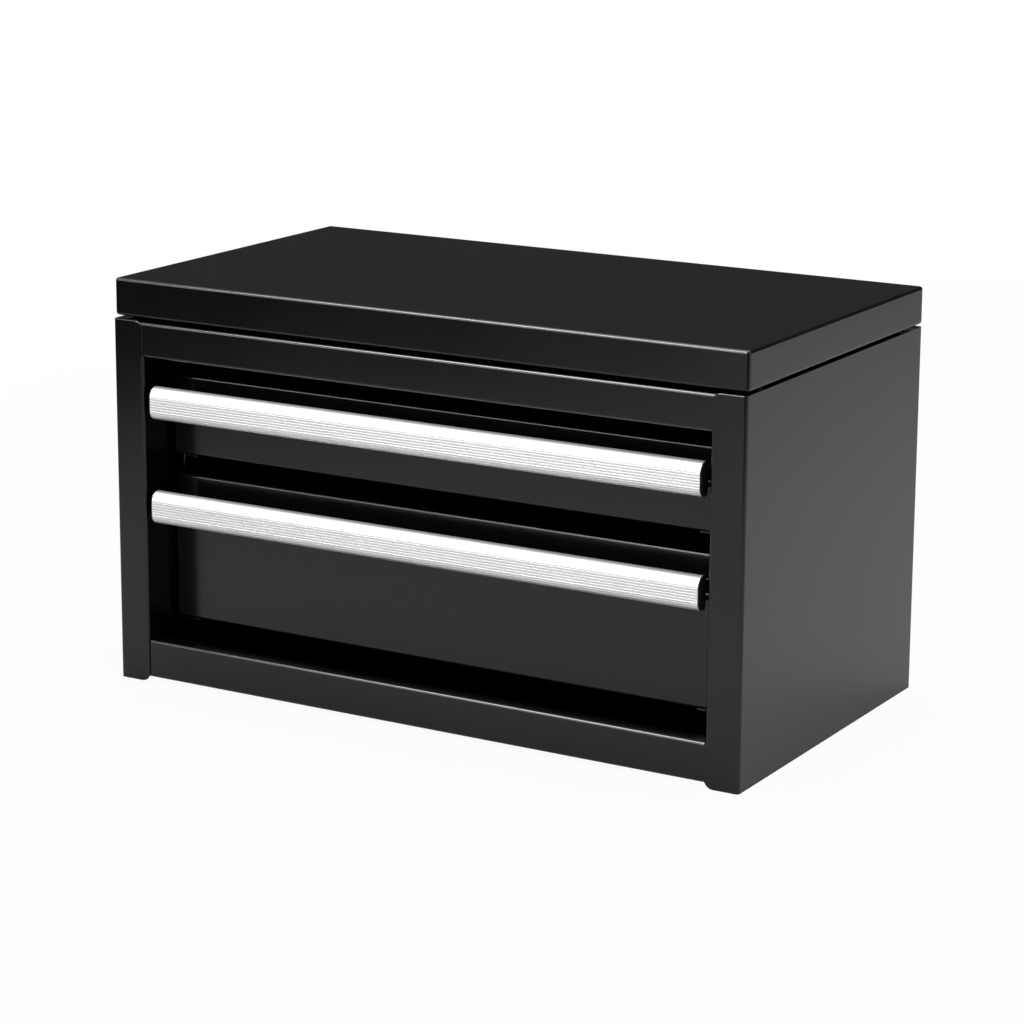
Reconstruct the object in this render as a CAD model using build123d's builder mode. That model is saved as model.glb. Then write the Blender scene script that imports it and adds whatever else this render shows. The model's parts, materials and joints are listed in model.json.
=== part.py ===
"""Two-drawer machinist tool chest of folded sheet steel, with a rear-hinged lid over a shallow till.

+Z is up, +X is to the right of someone who faces the drawers, and the drawers open towards -Y.
The origin is on the floor, under the middle of the whole chest. All sizes are in millimetres.
"""

import os
from math import sqrt

from build123d import *

os.makedirs("parts", exist_ok=True)

# ---------------------------------------------------------------- driving dimensions
# Cabinet
body_width = 610.0
body_depth = 337.0
body_height = 323.0
sheet = 1.0
bend = 3.0
stile_width = 31.0
stile_return = 38.0
stile_corner = 8.0
side_flange = 12.0
side_corner_relief = 5.0
rear_flange = 15.0
edge_gap = 0.1

# Rails and floors
top_rail_height = 31.0
base_rail_top = 38.0
base_rail_bottom = 4.0
rail_flange = 15.0
back_flange = 12.0
pan_flange = 10.0
pan_corner = 4.0

# Slide posts and slides
post_sheet = 1.2
post_width = 30.0
post_bend = 2.0
post_foot_notch = 3.2
front_post_inset = 58.0
rear_post_inset = 22.0
slide_height = 45.5
slide_thickness = 12.7
slide_sheet = 1.2
slide_bend = 1.8
slide_track = 2.0
slide_side_gap = 1.3
slide_lip_gap = 1.0
slide_front_inset = 54.0
slide_rear_inset = 13.0
slide_rivet_inset = 54.0

# Drawers
front_setback = 38.0
front_gap = 3.5
front_depth = 12.0
front_corner = 3.0
front_bend = 2.5
upper_front_drop = 20.0
upper_front_height = 71.0
fronts_gap = 17.5
lower_front_rise = 14.0
box_rear_inset = 17.0
box_corner = 3.0
box_bend = 2.0
upper_box_drop = 12.0
lower_box_drop = 13.5
hem_height = 8.0
hem_thickness = 2.0
runner_width = 12.5
runner_thickness = 1.4
liner_thickness = 1.5
liner_gap = 2.5

# Pulls
pull_height = 28.5
pull_depth = 12.6
pull_proud = 2.0
pull_end_gap = 6.5
upper_pull_drop = 19.4
lower_pull_drop = 23.6
pull_top_radius = 9.0
pull_bottom_radius = 8.0
pull_back_radius = 3.0
pull_wall = 2.2
flute_count = 10
flute_pitch = 2.3
flute_radius = 0.8
flute_depth = 0.45
cap_thickness = 1.2
cap_edge_radius = 0.75
spigot_length = 6.0
bracket_sheet = 1.2
bracket_bend = 2.0
bracket_slot_gap = 0.05
bracket_drop = 11.0
bracket_rise = 5.0
bracket_back_height = 14.0
bracket_end_inset = 4.8
hook_wall = 1.6

# Lid
lid_height = 32.6
lid_gap = 2.6
lid_setback = 2.8
lid_corner = 3.0
lid_bend = 2.75
lid_bottom_bend = 2.4
lid_flange = 10.0
stiffener_width = 40.0
stiffener_height = 10.0
stiffener_slope = 5.0
stiffener_brim = 10.0
stiffener_end_inset = 35.0

# Hinge
hinge_end_inset = 17.0
leaf_sheet = 1.0
knuckle_radius = 2.5
pin_radius = 1.5
pin_running_fit = 0.05
knuckle_count = 15
knuckle_gap = 0.3
leaf_height = 20.0
leaf_clearance = 0.3

# Fasteners and bumpers
rivet_head_radius = 3.2
rivet_head = 1.2
rivet_shank_radius = 1.6
rivet_tail_radius = 2.4
rivet_tail = 0.9
rivet_hole_gap = 0.1
slide_rivet_head = 0.7
hinge_rivet_count = 8
hinge_rivet_end = 22.0
hinge_rivet_inset = 11.0
bracket_rivet_count = 6
bracket_rivet_end = 21.5
back_rivet_count = 4
back_rivet_rise = 40.0
back_rivet_drop = 43.0
bumper_radius = 4.0
bumper_stem_radius = 2.0
bumper_stem = 3.0
bumper_inset = 6.5
bumper_rest_gap = 0.1
bumper_front_inset = 30.0
bumper_rear_inset = 37.0

# ---------------------------------------------------------------- derived places
hinge_axis_behind = knuckle_radius - leaf_sheet
hinge_behind = hinge_axis_behind + knuckle_radius
overall_depth = pull_proud + body_depth + hinge_behind
front_y = -overall_depth / 2 + pull_proud
back_y = front_y + body_depth
half_width = body_width / 2
opening_half = half_width - stile_width
inner_half = half_width - sheet - edge_gap
bend_half = half_width - bend - edge_gap

rail_y = front_y + sheet
rail_top = body_height - sheet
opening_top = rail_top - top_rail_height
till_floor_z = opening_top + sheet
back_panel_y = back_y - sheet
pan_front_y = rail_y + sheet + edge_gap
pan_back_y = back_panel_y - sheet - edge_gap
bottom_z = base_rail_bottom + sheet

front_face_y = front_y + front_setback
front_half = opening_half - front_gap
upper_front_top = opening_top - upper_front_drop
upper_front_bottom = upper_front_top - upper_front_height
lower_front_top = upper_front_bottom - fronts_gap
lower_front_bottom = base_rail_top + lower_front_rise
upper_box_height = upper_front_height - upper_box_drop
lower_box_height = lower_front_top - lower_front_bottom - lower_box_drop
upper_pull_middle = upper_front_top - upper_pull_drop
lower_pull_middle = lower_front_top - lower_pull_drop
box_front_y = front_face_y + front_depth
box_back_y = back_y - box_rear_inset
box_half = opening_half - slide_thickness
box_depth = box_back_y - box_front_y

middle_member_height = slide_height - 2 * (slide_sheet + slide_track)
drawer_member_height = middle_member_height - 2 * (slide_sheet + slide_track)
middle_web = opening_half - slide_sheet - slide_side_gap
cabinet_lip = opening_half - box_half - slide_sheet - 2 * slide_lip_gap
middle_lip = middle_web - box_half - slide_sheet - slide_lip_gap
drawer_lip = middle_web - box_half - slide_sheet - slide_lip_gap
slide_front_y = front_y + slide_front_inset
slide_back_y = back_y - slide_rear_inset
slide_rivet_ys = [slide_front_y + slide_rivet_inset, slide_back_y - slide_rivet_inset]

pull_front_y = front_y - pull_proud
pull_half = opening_half - pull_end_gap
extrusion_half = pull_half - cap_thickness
hook_slot_front = pull_depth - hook_wall - bracket_sheet - 2 * bracket_slot_gap
bracket_front_y = pull_front_y + hook_slot_front + bracket_slot_gap
bracket_half = extrusion_half - bracket_end_inset

lid_bottom = body_height + lid_gap
lid_top = lid_bottom + lid_height
lid_front_y = front_y + lid_setback
lid_depth = body_depth - lid_setback
lid_middle_y = lid_front_y + lid_depth / 2

hinge_y = back_y + hinge_axis_behind
hinge_z = lid_bottom - leaf_clearance - knuckle_radius
hinge_half = half_width - hinge_end_inset
knuckle_pitch = 2 * hinge_half / knuckle_count

SIDES = {"left": -1, "right": 1}
DRAWERS = {
    "upper": (upper_front_bottom, upper_front_top, upper_box_height, upper_pull_middle),
    "lower": (lower_front_bottom, lower_front_top, lower_box_height, lower_pull_middle),
}


# ---------------------------------------------------------------- shared shapes
def across(y):
    """Upright plane at depth y; extruding by a negative amount goes towards the back."""
    return Plane.XZ.offset(-y)


def from_left(x):
    """Upright plane at x, with depth to the right and height up; extruding goes to +X."""
    return Plane.YZ.offset(x)


def folded_sheet(points, side, thickness=sheet, radius=bend):
    """Section of a folded sheet: the points follow one skin, the sheet lies on the given side."""
    with BuildLine() as skin:
        FilletPolyline(*points, radius=radius)
        offset(amount=thickness, side=side)
    make_face(skin.edges())


def inward(hand, side):
    """Side of a path on which the sheet lies, for a path mirrored from right to left."""
    if hand > 0:
        return side
    return Side.LEFT if side == Side.RIGHT else Side.RIGHT


def rivet(seat, outward, grip, head=rivet_head):
    """Rivet with its head on the seat, its shank through the grip and its tail behind."""
    with Locations(Plane(origin=seat, z_dir=outward)):
        Cylinder(rivet_head_radius, head, align=(Align.CENTER, Align.CENTER, Align.MIN))
        Cylinder(rivet_shank_radius, grip, align=(Align.CENTER, Align.CENTER, Align.MAX))
    tail_seat = Vector(*seat) - Vector(*outward) * grip
    with Locations(Plane(origin=tail_seat, z_dir=outward)):
        Cylinder(rivet_tail_radius, rivet_tail, align=(Align.CENTER, Align.CENTER, Align.MAX))


def rivet_holes(seats, outward, depth):
    """Holes for rivet shanks, cut inward from their seats."""
    with Locations(*[Plane(origin=seat, z_dir=outward) for seat in seats]):
        Hole(rivet_shank_radius + rivet_hole_gap, depth=depth)


def spread(count, first, last):
    """Evenly spaced places from the first to the last."""
    return [first + (last - first) * i / (count - 1) for i in range(count)]


def save(part, label):
    """Label a finished piece and write its file."""
    part.label = label
    export_step(part, f"parts/{label}.step")


# ---------------------------------------------------------------- rivet places
cabinet_leaf_top = hinge_z - knuckle_radius - leaf_clearance
lid_leaf_bottom = lid_bottom + leaf_clearance
cabinet_hinge_rivet_z = cabinet_leaf_top - hinge_rivet_inset
lid_hinge_rivet_z = lid_leaf_bottom + hinge_rivet_inset
hinge_rivet_xs = spread(hinge_rivet_count, hinge_rivet_end - hinge_half, hinge_half - hinge_rivet_end)
bracket_rivet_xs = spread(
    bracket_rivet_count, bracket_rivet_end - bracket_half, bracket_half - bracket_rivet_end
)
back_rivet_x = half_width - rear_flange / 2
back_rivet_zs = spread(back_rivet_count, back_rivet_rise, body_height - back_rivet_drop)
bumper_ys = [front_y + bumper_front_inset, back_y - bumper_rear_inset]
post_starts = {"front": front_y + front_post_inset, "rear": back_y - rear_post_inset - post_width}
post_middles = [start + post_width / 2 for start in post_starts.values()]


def slide_middle(name):
    """Height of a drawer's slides: the middle of its box."""
    bottom, _, height, _ = DRAWERS[name]
    return bottom + height / 2


def bracket_rivet_z(pull_middle):
    """Height of the rivets through the bracket's back flange."""
    return pull_middle - bracket_drop + bracket_back_height / 2 + bracket_sheet


# ---------------------------------------------------------------- cabinet shell
def stile_end_edges(panel, hand):
    """Short edges through the sheet at the stile's inner side, from the foot up."""
    return panel.edges().filter_by(Axis.Y).filter_by(
        lambda e: abs(e.center().X - hand * opening_half) < edge_gap and e.length < sheet + edge_gap
    ).sort_by(Axis.Z)


def side_panel(hand):
    """Side sheet, wrapped round the front corner as a stile, with flanges at back, top and foot."""
    stile_edge = (hand * opening_half, front_y)
    corner = (hand * half_width, front_y)
    rear_corner = (hand * half_width, back_y)
    rear_edge = (hand * (half_width - rear_flange), back_y)
    return_edge = (hand * opening_half, front_y + stile_return)
    flange_run = body_depth - 2 * side_corner_relief
    flange_y = front_y + side_corner_relief
    outer_x = hand * half_width
    flange_x = hand * (half_width - side_flange)
    with BuildPart() as panel:
        with BuildSketch(Plane.XY):
            folded_sheet([stile_edge, corner, rear_corner, rear_edge], inward(hand, Side.LEFT))
        extrude(amount=body_height)
        with BuildSketch(Plane.XY.offset(base_rail_top + edge_gap)):
            with Locations((hand * (opening_half + bend / 2), front_y + bend / 2)):
                Rectangle(bend, bend)
        extrude(amount=opening_top - base_rail_top - 2 * edge_gap, mode=Mode.SUBTRACT)
        with BuildSketch(Plane.XY.offset(base_rail_top + edge_gap)):
            folded_sheet(
                [return_edge, stile_edge, (hand * (half_width - bend), front_y)],
                inward(hand, Side.LEFT),
            )
        extrude(amount=opening_top - base_rail_top - 2 * edge_gap)
        for end in (0, -1):
            fillet(stile_end_edges(panel, hand)[end], radius=stile_corner)
        for edge_z, reach in ((body_height, -side_corner_relief), (0, side_corner_relief)):
            with Locations((outer_x, flange_y + flange_run / 2, edge_z + reach / 2)):
                Box(2 * bend, flange_run, abs(reach), mode=Mode.SUBTRACT)
            turn = Side.LEFT if reach < 0 else Side.RIGHT
            with BuildSketch(across(flange_y)):
                folded_sheet(
                    [(outer_x, edge_z + reach), (outer_x, edge_z), (flange_x, edge_z)],
                    inward(hand, turn),
                )
            extrude(amount=-flange_run)
        rivet_holes([(hand * back_rivet_x, back_y, z) for z in back_rivet_zs], (0, 1, 0), sheet)
        with Locations(*[(hand * (half_width - bumper_inset), y, body_height) for y in bumper_ys]):
            Hole(bumper_stem_radius, depth=sheet)
    return panel


for side_name, hand in SIDES.items():
    save(side_panel(hand).part, f"side_panel_{side_name}")

with BuildPart() as top_rail:
    with BuildSketch(from_left(-bend_half)):
        folded_sheet(
            [(rail_y + back_flange, rail_top), (rail_y, rail_top),
             (rail_y, opening_top), (rail_y + rail_flange, opening_top)],
            Side.LEFT,
        )
    extrude(amount=2 * bend_half)
save(top_rail.part, "top_rail")

with BuildPart() as base_rail:
    with BuildSketch(from_left(-bend_half)):
        folded_sheet(
            [(rail_y + rail_flange, base_rail_top), (rail_y, base_rail_top),
             (rail_y, base_rail_bottom), (rail_y + back_flange, base_rail_bottom)],
            Side.LEFT,
        )
    extrude(amount=2 * bend_half)
save(base_rail.part, "base_rail")

with BuildPart() as back_panel:
    with BuildSketch(from_left(-bend_half)):
        folded_sheet(
            [(back_panel_y - back_flange, rail_top), (back_panel_y, rail_top),
             (back_panel_y, base_rail_bottom), (back_panel_y - back_flange, base_rail_bottom)],
            Side.RIGHT,
        )
    extrude(amount=2 * bend_half)
    rivet_holes(
        [(hand * back_rivet_x, back_panel_y, z) for hand in SIDES.values() for z in back_rivet_zs],
        (0, 1, 0), sheet,
    )
    rivet_holes([(x, back_panel_y, cabinet_hinge_rivet_z) for x in hinge_rivet_xs], (0, 1, 0), sheet)
save(back_panel.part, "back_panel")


def floor_pan(floor_z):
    """Flat floor sheet with low upturned flanges on all four sides."""
    depth = pan_back_y - pan_front_y
    middle_y = (pan_back_y + pan_front_y) / 2
    with BuildPart() as pan:
        with BuildSketch(Plane.XY.offset(floor_z)):
            with Locations((0, middle_y)):
                RectangleRounded(2 * inner_half, depth, pan_corner)
        extrude(amount=pan_flange)
        fillet(pan.faces().sort_by(Axis.Z)[0].edges(), radius=bend)
        with BuildSketch(Plane.XY.offset(floor_z + sheet)):
            with Locations((0, middle_y)):
                RectangleRounded(2 * (inner_half - sheet), depth - 2 * sheet, pan_corner - sheet)
        extrude(amount=pan_flange, mode=Mode.SUBTRACT)
        fillet(pan.faces().filter_by(Axis.Z).sort_by(Axis.Z)[1].edges(), radius=bend - sheet)
    return pan


save(floor_pan(bottom_z).part, "bottom_panel")
save(floor_pan(till_floor_z).part, "till_floor")

with BuildPart() as till_liner:
    with BuildSketch(Plane.XY.offset(till_floor_z + sheet)):
        with Locations((0, (pan_back_y + pan_front_y) / 2)):
            RectangleRounded(
                2 * (inner_half - sheet - liner_gap),
                pan_back_y - pan_front_y - 2 * (sheet + liner_gap),
                bend,
            )
    extrude(amount=liner_thickness)
save(till_liner.part, "till_liner")

with BuildPart() as back_rivets:
    for hand in SIDES.values():
        for z in back_rivet_zs:
            rivet((hand * back_rivet_x, back_y, z), (0, 1, 0), 2 * sheet)
save(back_rivets.part, "back_rivets")

with BuildPart() as lid_bumpers:
    for hand in SIDES.values():
        for y in bumper_ys:
            with Locations((hand * (half_width - bumper_inset), y, body_height)):
                Cylinder(bumper_radius, lid_gap - bumper_rest_gap,
                         align=(Align.CENTER, Align.CENTER, Align.MIN))
                Cylinder(bumper_stem_radius, bumper_stem,
                         align=(Align.CENTER, Align.CENTER, Align.MAX))
save(lid_bumpers.part, "lid_bumpers")


# ---------------------------------------------------------------- slide posts
def slide_post(hand, start_y):
    """Upright channel that brings the slides in line with the stile's inner edge."""
    wall_x = hand * (half_width - sheet)
    web_x = hand * opening_half
    height = till_floor_z - bottom_z - sheet
    with BuildPart() as post:
        with BuildSketch(Plane.XY.offset(bottom_z + sheet)):
            folded_sheet(
                [(wall_x, start_y), (web_x, start_y),
                 (web_x, start_y + post_width), (wall_x, start_y + post_width)],
                inward(hand, Side.RIGHT), post_sheet, post_bend,
            )
        extrude(amount=height)
        with BuildSketch(Plane.XY.offset(bottom_z + sheet)):
            with Locations((wall_x, start_y + post_width / 2)):
                Rectangle(2 * post_foot_notch, post_width)
        extrude(amount=pan_flange, mode=Mode.SUBTRACT)
        rivet_holes(
            [(web_x, start_y + post_width / 2, slide_middle(name)) for name in DRAWERS],
            (-hand, 0, 0), post_sheet,
        )
    return post


for side_name, hand in SIDES.items():
    for post_name, start_y in post_starts.items():
        save(slide_post(hand, start_y).part, f"slide_post_{post_name}_{side_name}")


# ---------------------------------------------------------------- slides
def slide_channel(hand, name, web_x, reach, height):
    """One slide member: a channel whose web is at web_x and whose lips reach towards +reach."""
    middle_z = slide_middle(name)
    lip_x = web_x + reach
    turn = Side.RIGHT if reach < 0 else Side.LEFT
    with BuildPart() as channel:
        with BuildSketch(across(slide_front_y)):
            folded_sheet(
                [(lip_x, middle_z + height / 2), (web_x, middle_z + height / 2),
                 (web_x, middle_z - height / 2), (lip_x, middle_z - height / 2)],
                turn, slide_sheet, slide_bend,
            )
        extrude(amount=slide_front_y - slide_back_y)
    return channel


def cabinet_member(hand, name):
    """Fixed slide member, riveted to both posts of its side."""
    with slide_channel(hand, name, hand * opening_half, -hand * cabinet_lip, slide_height) as member:
        rivet_holes(
            [(hand * (opening_half - slide_sheet), y, slide_middle(name)) for y in post_middles],
            (-hand, 0, 0), slide_sheet,
        )
    return member


def drawer_member(hand, name):
    """Slide member riveted to the side of the drawer box."""
    with slide_channel(hand, name, hand * box_half, hand * drawer_lip, drawer_member_height) as member:
        rivet_holes(
            [(hand * box_half, y, slide_middle(name)) for y in slide_rivet_ys],
            (-hand, 0, 0), slide_sheet,
        )
    return member


for name in DRAWERS:
    for side_name, hand in SIDES.items():
        save(cabinet_member(hand, name).part, f"{name}_slide_cabinet_member_{side_name}")
        middle = slide_channel(hand, name, hand * middle_web, -hand * middle_lip, middle_member_height)
        save(middle.part, f"{name}_slide_middle_member_{side_name}")
        save(drawer_member(hand, name).part, f"{name}_slide_drawer_member_{side_name}")

with BuildPart() as post_rivets:
    for name in DRAWERS:
        for hand in SIDES.values():
            for y in post_middles:
                rivet((hand * (opening_half - slide_sheet), y, slide_middle(name)),
                      (-hand, 0, 0), slide_sheet + post_sheet, slide_rivet_head)
save(post_rivets.part, "post_rivets")


# ---------------------------------------------------------------- drawers
def drawer_box(name):
    """Open folded box with a hemmed rim and a runner flange under each long side."""
    bottom, _, height, _ = DRAWERS[name]
    middle_y = (box_front_y + box_back_y) / 2
    runner_front_y = front_face_y + sheet
    with BuildPart() as box:
        with BuildSketch(Plane.XY.offset(bottom)):
            with Locations((0, middle_y)):
                RectangleRounded(2 * box_half, box_depth, box_corner)
        extrude(amount=height)
        fillet(box.faces().sort_by(Axis.Z)[0].edges(), radius=box_bend)
        with BuildSketch(Plane.XY.offset(bottom + sheet)):
            with Locations((0, middle_y)):
                RectangleRounded(2 * (box_half - sheet), box_depth - 2 * sheet, box_corner - sheet)
        extrude(amount=height - sheet - hem_height, mode=Mode.SUBTRACT)
        with BuildSketch(Plane.XY.offset(bottom + height - hem_height)):
            with Locations((0, middle_y)):
                Rectangle(2 * (box_half - hem_thickness), box_depth - 2 * hem_thickness)
        extrude(amount=hem_height, mode=Mode.SUBTRACT)
        for hand in SIDES.values():
            runner_x = hand * (box_half - box_bend - runner_width / 2)
            with BuildSketch(Plane.XY.offset(bottom)):
                with Locations((runner_x, (runner_front_y + box_back_y - box_bend) / 2)):
                    Rectangle(runner_width, box_back_y - box_bend - runner_front_y)
            extrude(amount=-runner_thickness)
            rivet_holes(
                [(hand * (box_half - sheet), y, slide_middle(name)) for y in slide_rivet_ys],
                (-hand, 0, 0), sheet,
            )
    return box


def drawer_front(name):
    """Front panel: a shallow pan with rounded edges, its flanges turned back to the box."""
    bottom, top, _, pull_middle = DRAWERS[name]
    height = top - bottom
    middle_z = (top + bottom) / 2
    with BuildPart() as front:
        with BuildSketch(across(front_face_y)):
            with Locations((0, middle_z)):
                RectangleRounded(2 * front_half, height, front_corner)
        extrude(amount=-front_depth)
        fillet(front.faces().sort_by(Axis.Y)[0].edges(), radius=front_bend)
        with BuildSketch(across(front_face_y + sheet)):
            with Locations((0, middle_z)):
                RectangleRounded(2 * (front_half - sheet), height - 2 * sheet, front_corner - sheet)
        extrude(amount=-front_depth, mode=Mode.SUBTRACT)
        fillet(front.faces().filter_by(Axis.Y).sort_by(Axis.Y)[1].edges(), radius=front_bend - sheet)
        rivet_holes(
            [(x, front_face_y, bracket_rivet_z(pull_middle)) for x in bracket_rivet_xs],
            (0, -1, 0), sheet,
        )
    return front


def pull_bracket(name):
    """Channel that carries the pull in front of the drawer front and leaves a finger trough."""
    pull_middle = DRAWERS[name][3]
    web_z = pull_middle - bracket_drop
    with BuildPart() as bracket:
        with BuildSketch(from_left(-bracket_half)):
            folded_sheet(
                [(bracket_front_y, pull_middle + bracket_rise), (bracket_front_y, web_z),
                 (front_face_y, web_z), (front_face_y, web_z + bracket_back_height)],
                Side.LEFT, bracket_sheet, bracket_bend,
            )
        extrude(amount=2 * bracket_half)
        rivet_holes(
            [(x, front_face_y - bracket_sheet, bracket_rivet_z(pull_middle)) for x in bracket_rivet_xs],
            (0, -1, 0), bracket_sheet,
        )
    return bracket


def pull_outline(pull_middle):
    """Outline of the pull's section: a bowed front and a flatter back."""
    with BuildSketch(mode=Mode.PRIVATE) as outline:
        with Locations((pull_front_y + pull_depth / 2, pull_middle)):
            Rectangle(pull_depth, pull_height)
        front_points = outline.vertices().group_by(Axis.X)[0].sort_by(Axis.Y)
        fillet(front_points[-1], radius=pull_top_radius)
        front_points = outline.vertices().group_by(Axis.X)[0].sort_by(Axis.Y)
        fillet(front_points[0], radius=pull_bottom_radius)
        fillet(outline.vertices().group_by(Axis.X)[-1], radius=pull_back_radius)
    return outline.sketch


def pull_surface(height):
    """Depth of the bowed front at a height above the pull's middle."""
    top_centre = pull_height / 2 - pull_top_radius
    bottom_centre = pull_bottom_radius - pull_height / 2
    if height > top_centre:
        return pull_top_radius - sqrt(pull_top_radius**2 - (height - top_centre) ** 2)
    if height < bottom_centre:
        return pull_bottom_radius - sqrt(pull_bottom_radius**2 - (bottom_centre - height) ** 2)
    return 0.0


chamber_depth = hook_slot_front - 2 * pull_wall
chamber_height = pull_height - 2 * pull_top_radius
flute_run = (flute_count - 1) * flute_pitch


def chamber(pull_middle, gap=0.0):
    """Hollow inside the extrusion, into which the end caps plug."""
    with Locations((pull_front_y + pull_wall + chamber_depth / 2, pull_middle)):
        Rectangle(chamber_depth - 2 * gap, chamber_height - 2 * gap)


def pull(name):
    """Aluminium extrusion: bowed fluted front, hollow middle and a hook over the bracket."""
    pull_middle = DRAWERS[name][3]
    slot_width = bracket_sheet + 2 * bracket_slot_gap
    slot_y = pull_front_y + hook_slot_front
    slot_top = pull_middle + bracket_rise + bracket_slot_gap
    pull_bottom = pull_middle - pull_height / 2
    hook_bottom = pull_middle - bracket_drop + 2 * bracket_bend
    with BuildPart() as extrusion:
        with BuildSketch(from_left(-extrusion_half)):
            add(pull_outline(pull_middle))
            for height in spread(flute_count, -flute_run / 2, flute_run / 2):
                flute_y = pull_front_y + pull_surface(height) - flute_radius + flute_depth
                with Locations((flute_y, pull_middle + height)):
                    Circle(flute_radius, mode=Mode.SUBTRACT)
            with BuildSketch(mode=Mode.PRIVATE) as hollow:
                chamber(pull_middle)
            add(hollow.sketch, mode=Mode.SUBTRACT)
            with Locations((slot_y + slot_width / 2, (slot_top + pull_bottom) / 2)):
                Rectangle(slot_width, slot_top - pull_bottom, mode=Mode.SUBTRACT)
            with Locations((slot_y + pull_depth / 2, (hook_bottom + pull_bottom) / 2)):
                Rectangle(pull_depth, hook_bottom - pull_bottom, mode=Mode.SUBTRACT)
        extrude(amount=2 * extrusion_half)
    return extrusion


def pull_cap(name, hand):
    """End cap: a plate with the pull's outline and a spigot in the hollow."""
    pull_middle = DRAWERS[name][3]
    inner_x = hand * extrusion_half
    with BuildPart() as cap:
        with BuildSketch(from_left(inner_x)):
            add(pull_outline(pull_middle))
        extrude(amount=hand * cap_thickness)
        outer_face = cap.faces().sort_by(Axis.X)[-1 if hand > 0 else 0]
        fillet(outer_face.edges(), radius=cap_edge_radius)
        with BuildSketch(from_left(inner_x)):
            chamber(pull_middle, edge_gap)
        extrude(amount=-hand * spigot_length)
    return cap


def drawer_liner(name):
    """Thin ribbed mat on the drawer's floor."""
    bottom = DRAWERS[name][0]
    with BuildPart() as liner:
        with BuildSketch(Plane.XY.offset(bottom + sheet)):
            with Locations((0, (box_front_y + box_back_y) / 2)):
                RectangleRounded(
                    2 * (box_half - sheet - liner_gap), box_depth - 2 * (sheet + liner_gap), box_bend
                )
        extrude(amount=liner_thickness)
    return liner


def drawer_slide_rivets(name):
    """Rivets that hold the drawer members of the slides to the box."""
    with BuildPart() as rivets:
        for hand in SIDES.values():
            for y in slide_rivet_ys:
                rivet((hand * (box_half - sheet), y, slide_middle(name)), (-hand, 0, 0),
                      sheet + slide_sheet)
    return rivets


def bracket_rivets(name):
    """Rivets that hold the pull bracket to the drawer front."""
    pull_middle = DRAWERS[name][3]
    with BuildPart() as rivets:
        for x in bracket_rivet_xs:
            rivet((x, front_face_y - bracket_sheet, bracket_rivet_z(pull_middle)), (0, -1, 0),
                  bracket_sheet + sheet)
    return rivets


for name in DRAWERS:
    save(drawer_box(name).part, f"{name}_drawer_box")
    save(drawer_front(name).part, f"{name}_drawer_front")
    save(pull_bracket(name).part, f"{name}_pull_bracket")
    save(pull(name).part, f"{name}_pull")
    for side_name, hand in SIDES.items():
        save(pull_cap(name, hand).part, f"{name}_pull_cap_{side_name}")
    save(drawer_liner(name).part, f"{name}_drawer_liner")
    save(drawer_slide_rivets(name).part, f"{name}_slide_rivets")
    save(bracket_rivets(name).part, f"{name}_bracket_rivets")

# ---------------------------------------------------------------- lid
with BuildPart() as lid_shell:
    with BuildSketch(Plane.XY.offset(lid_bottom)):
        with Locations((0, lid_middle_y)):
            RectangleRounded(body_width, lid_depth, lid_corner)
    extrude(amount=lid_height)
    fillet(lid_shell.faces().sort_by(Axis.Z)[-1].edges(), radius=lid_bend)
    fillet(lid_shell.faces().sort_by(Axis.Z)[0].edges(), radius=lid_bottom_bend)
    with BuildSketch(Plane.XY.offset(lid_bottom + sheet)):
        with Locations((0, lid_middle_y)):
            RectangleRounded(body_width - 2 * sheet, lid_depth - 2 * sheet, lid_corner - sheet)
    extrude(amount=lid_height - 2 * sheet, mode=Mode.SUBTRACT)
    with BuildSketch(Plane.XY.offset(lid_bottom)):
        with Locations((0, lid_middle_y)):
            Rectangle(body_width - 2 * lid_flange, lid_depth - 2 * lid_flange)
    extrude(amount=sheet, mode=Mode.SUBTRACT)
    fillet(lid_shell.faces().filter_by(Axis.Z).sort_by(Axis.Z)[-2].edges(), radius=lid_bend - sheet)
    rivet_holes([(x, back_y, lid_hinge_rivet_z) for x in hinge_rivet_xs], (0, 1, 0), sheet)
save(lid_shell.part, "lid_shell")

with BuildPart() as lid_stiffener:
    brim_z = lid_top - sheet
    hat_half = stiffener_width / 2
    foot_half = hat_half + stiffener_slope
    edge_half = foot_half + stiffener_brim
    stiffener_half = half_width - stiffener_end_inset
    with BuildSketch(from_left(-stiffener_half)):
        folded_sheet(
            [(lid_middle_y - edge_half, brim_z), (lid_middle_y - foot_half, brim_z),
             (lid_middle_y - hat_half, brim_z - stiffener_height),
             (lid_middle_y + hat_half, brim_z - stiffener_height),
             (lid_middle_y + foot_half, brim_z), (lid_middle_y + edge_half, brim_z)],
            Side.RIGHT, sheet, post_bend,
        )
    extrude(amount=2 * stiffener_half)
save(lid_stiffener.part, "lid_stiffener")


# ---------------------------------------------------------------- hinge
def hinge_leaf(first, leaf_y, plate_bottom, tongue_bottom, tongue_top, bore_radius, rivet_z):
    """Hinge leaf whose tongues run into every second knuckle, starting with the given one."""
    with BuildPart() as leaf:
        with BuildSketch(from_left(-hinge_half)):
            with Locations((leaf_y + leaf_sheet / 2, plate_bottom + leaf_height / 2)):
                Rectangle(leaf_sheet, leaf_height)
        extrude(amount=2 * hinge_half)
        for index in range(first, knuckle_count, 2):
            start_x = -hinge_half + index * knuckle_pitch + knuckle_gap / 2
            with BuildSketch(from_left(start_x)):
                with Locations((leaf_y + leaf_sheet / 2, (tongue_bottom + tongue_top) / 2)):
                    Rectangle(leaf_sheet, tongue_top - tongue_bottom)
                with Locations((hinge_y, hinge_z)):
                    Circle(knuckle_radius)
                    Circle(bore_radius, mode=Mode.SUBTRACT)
            extrude(amount=knuckle_pitch - knuckle_gap)
        rivet_holes([(x, leaf_y + leaf_sheet, rivet_z) for x in hinge_rivet_xs], (0, 1, 0), leaf_sheet)
    return leaf


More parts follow.
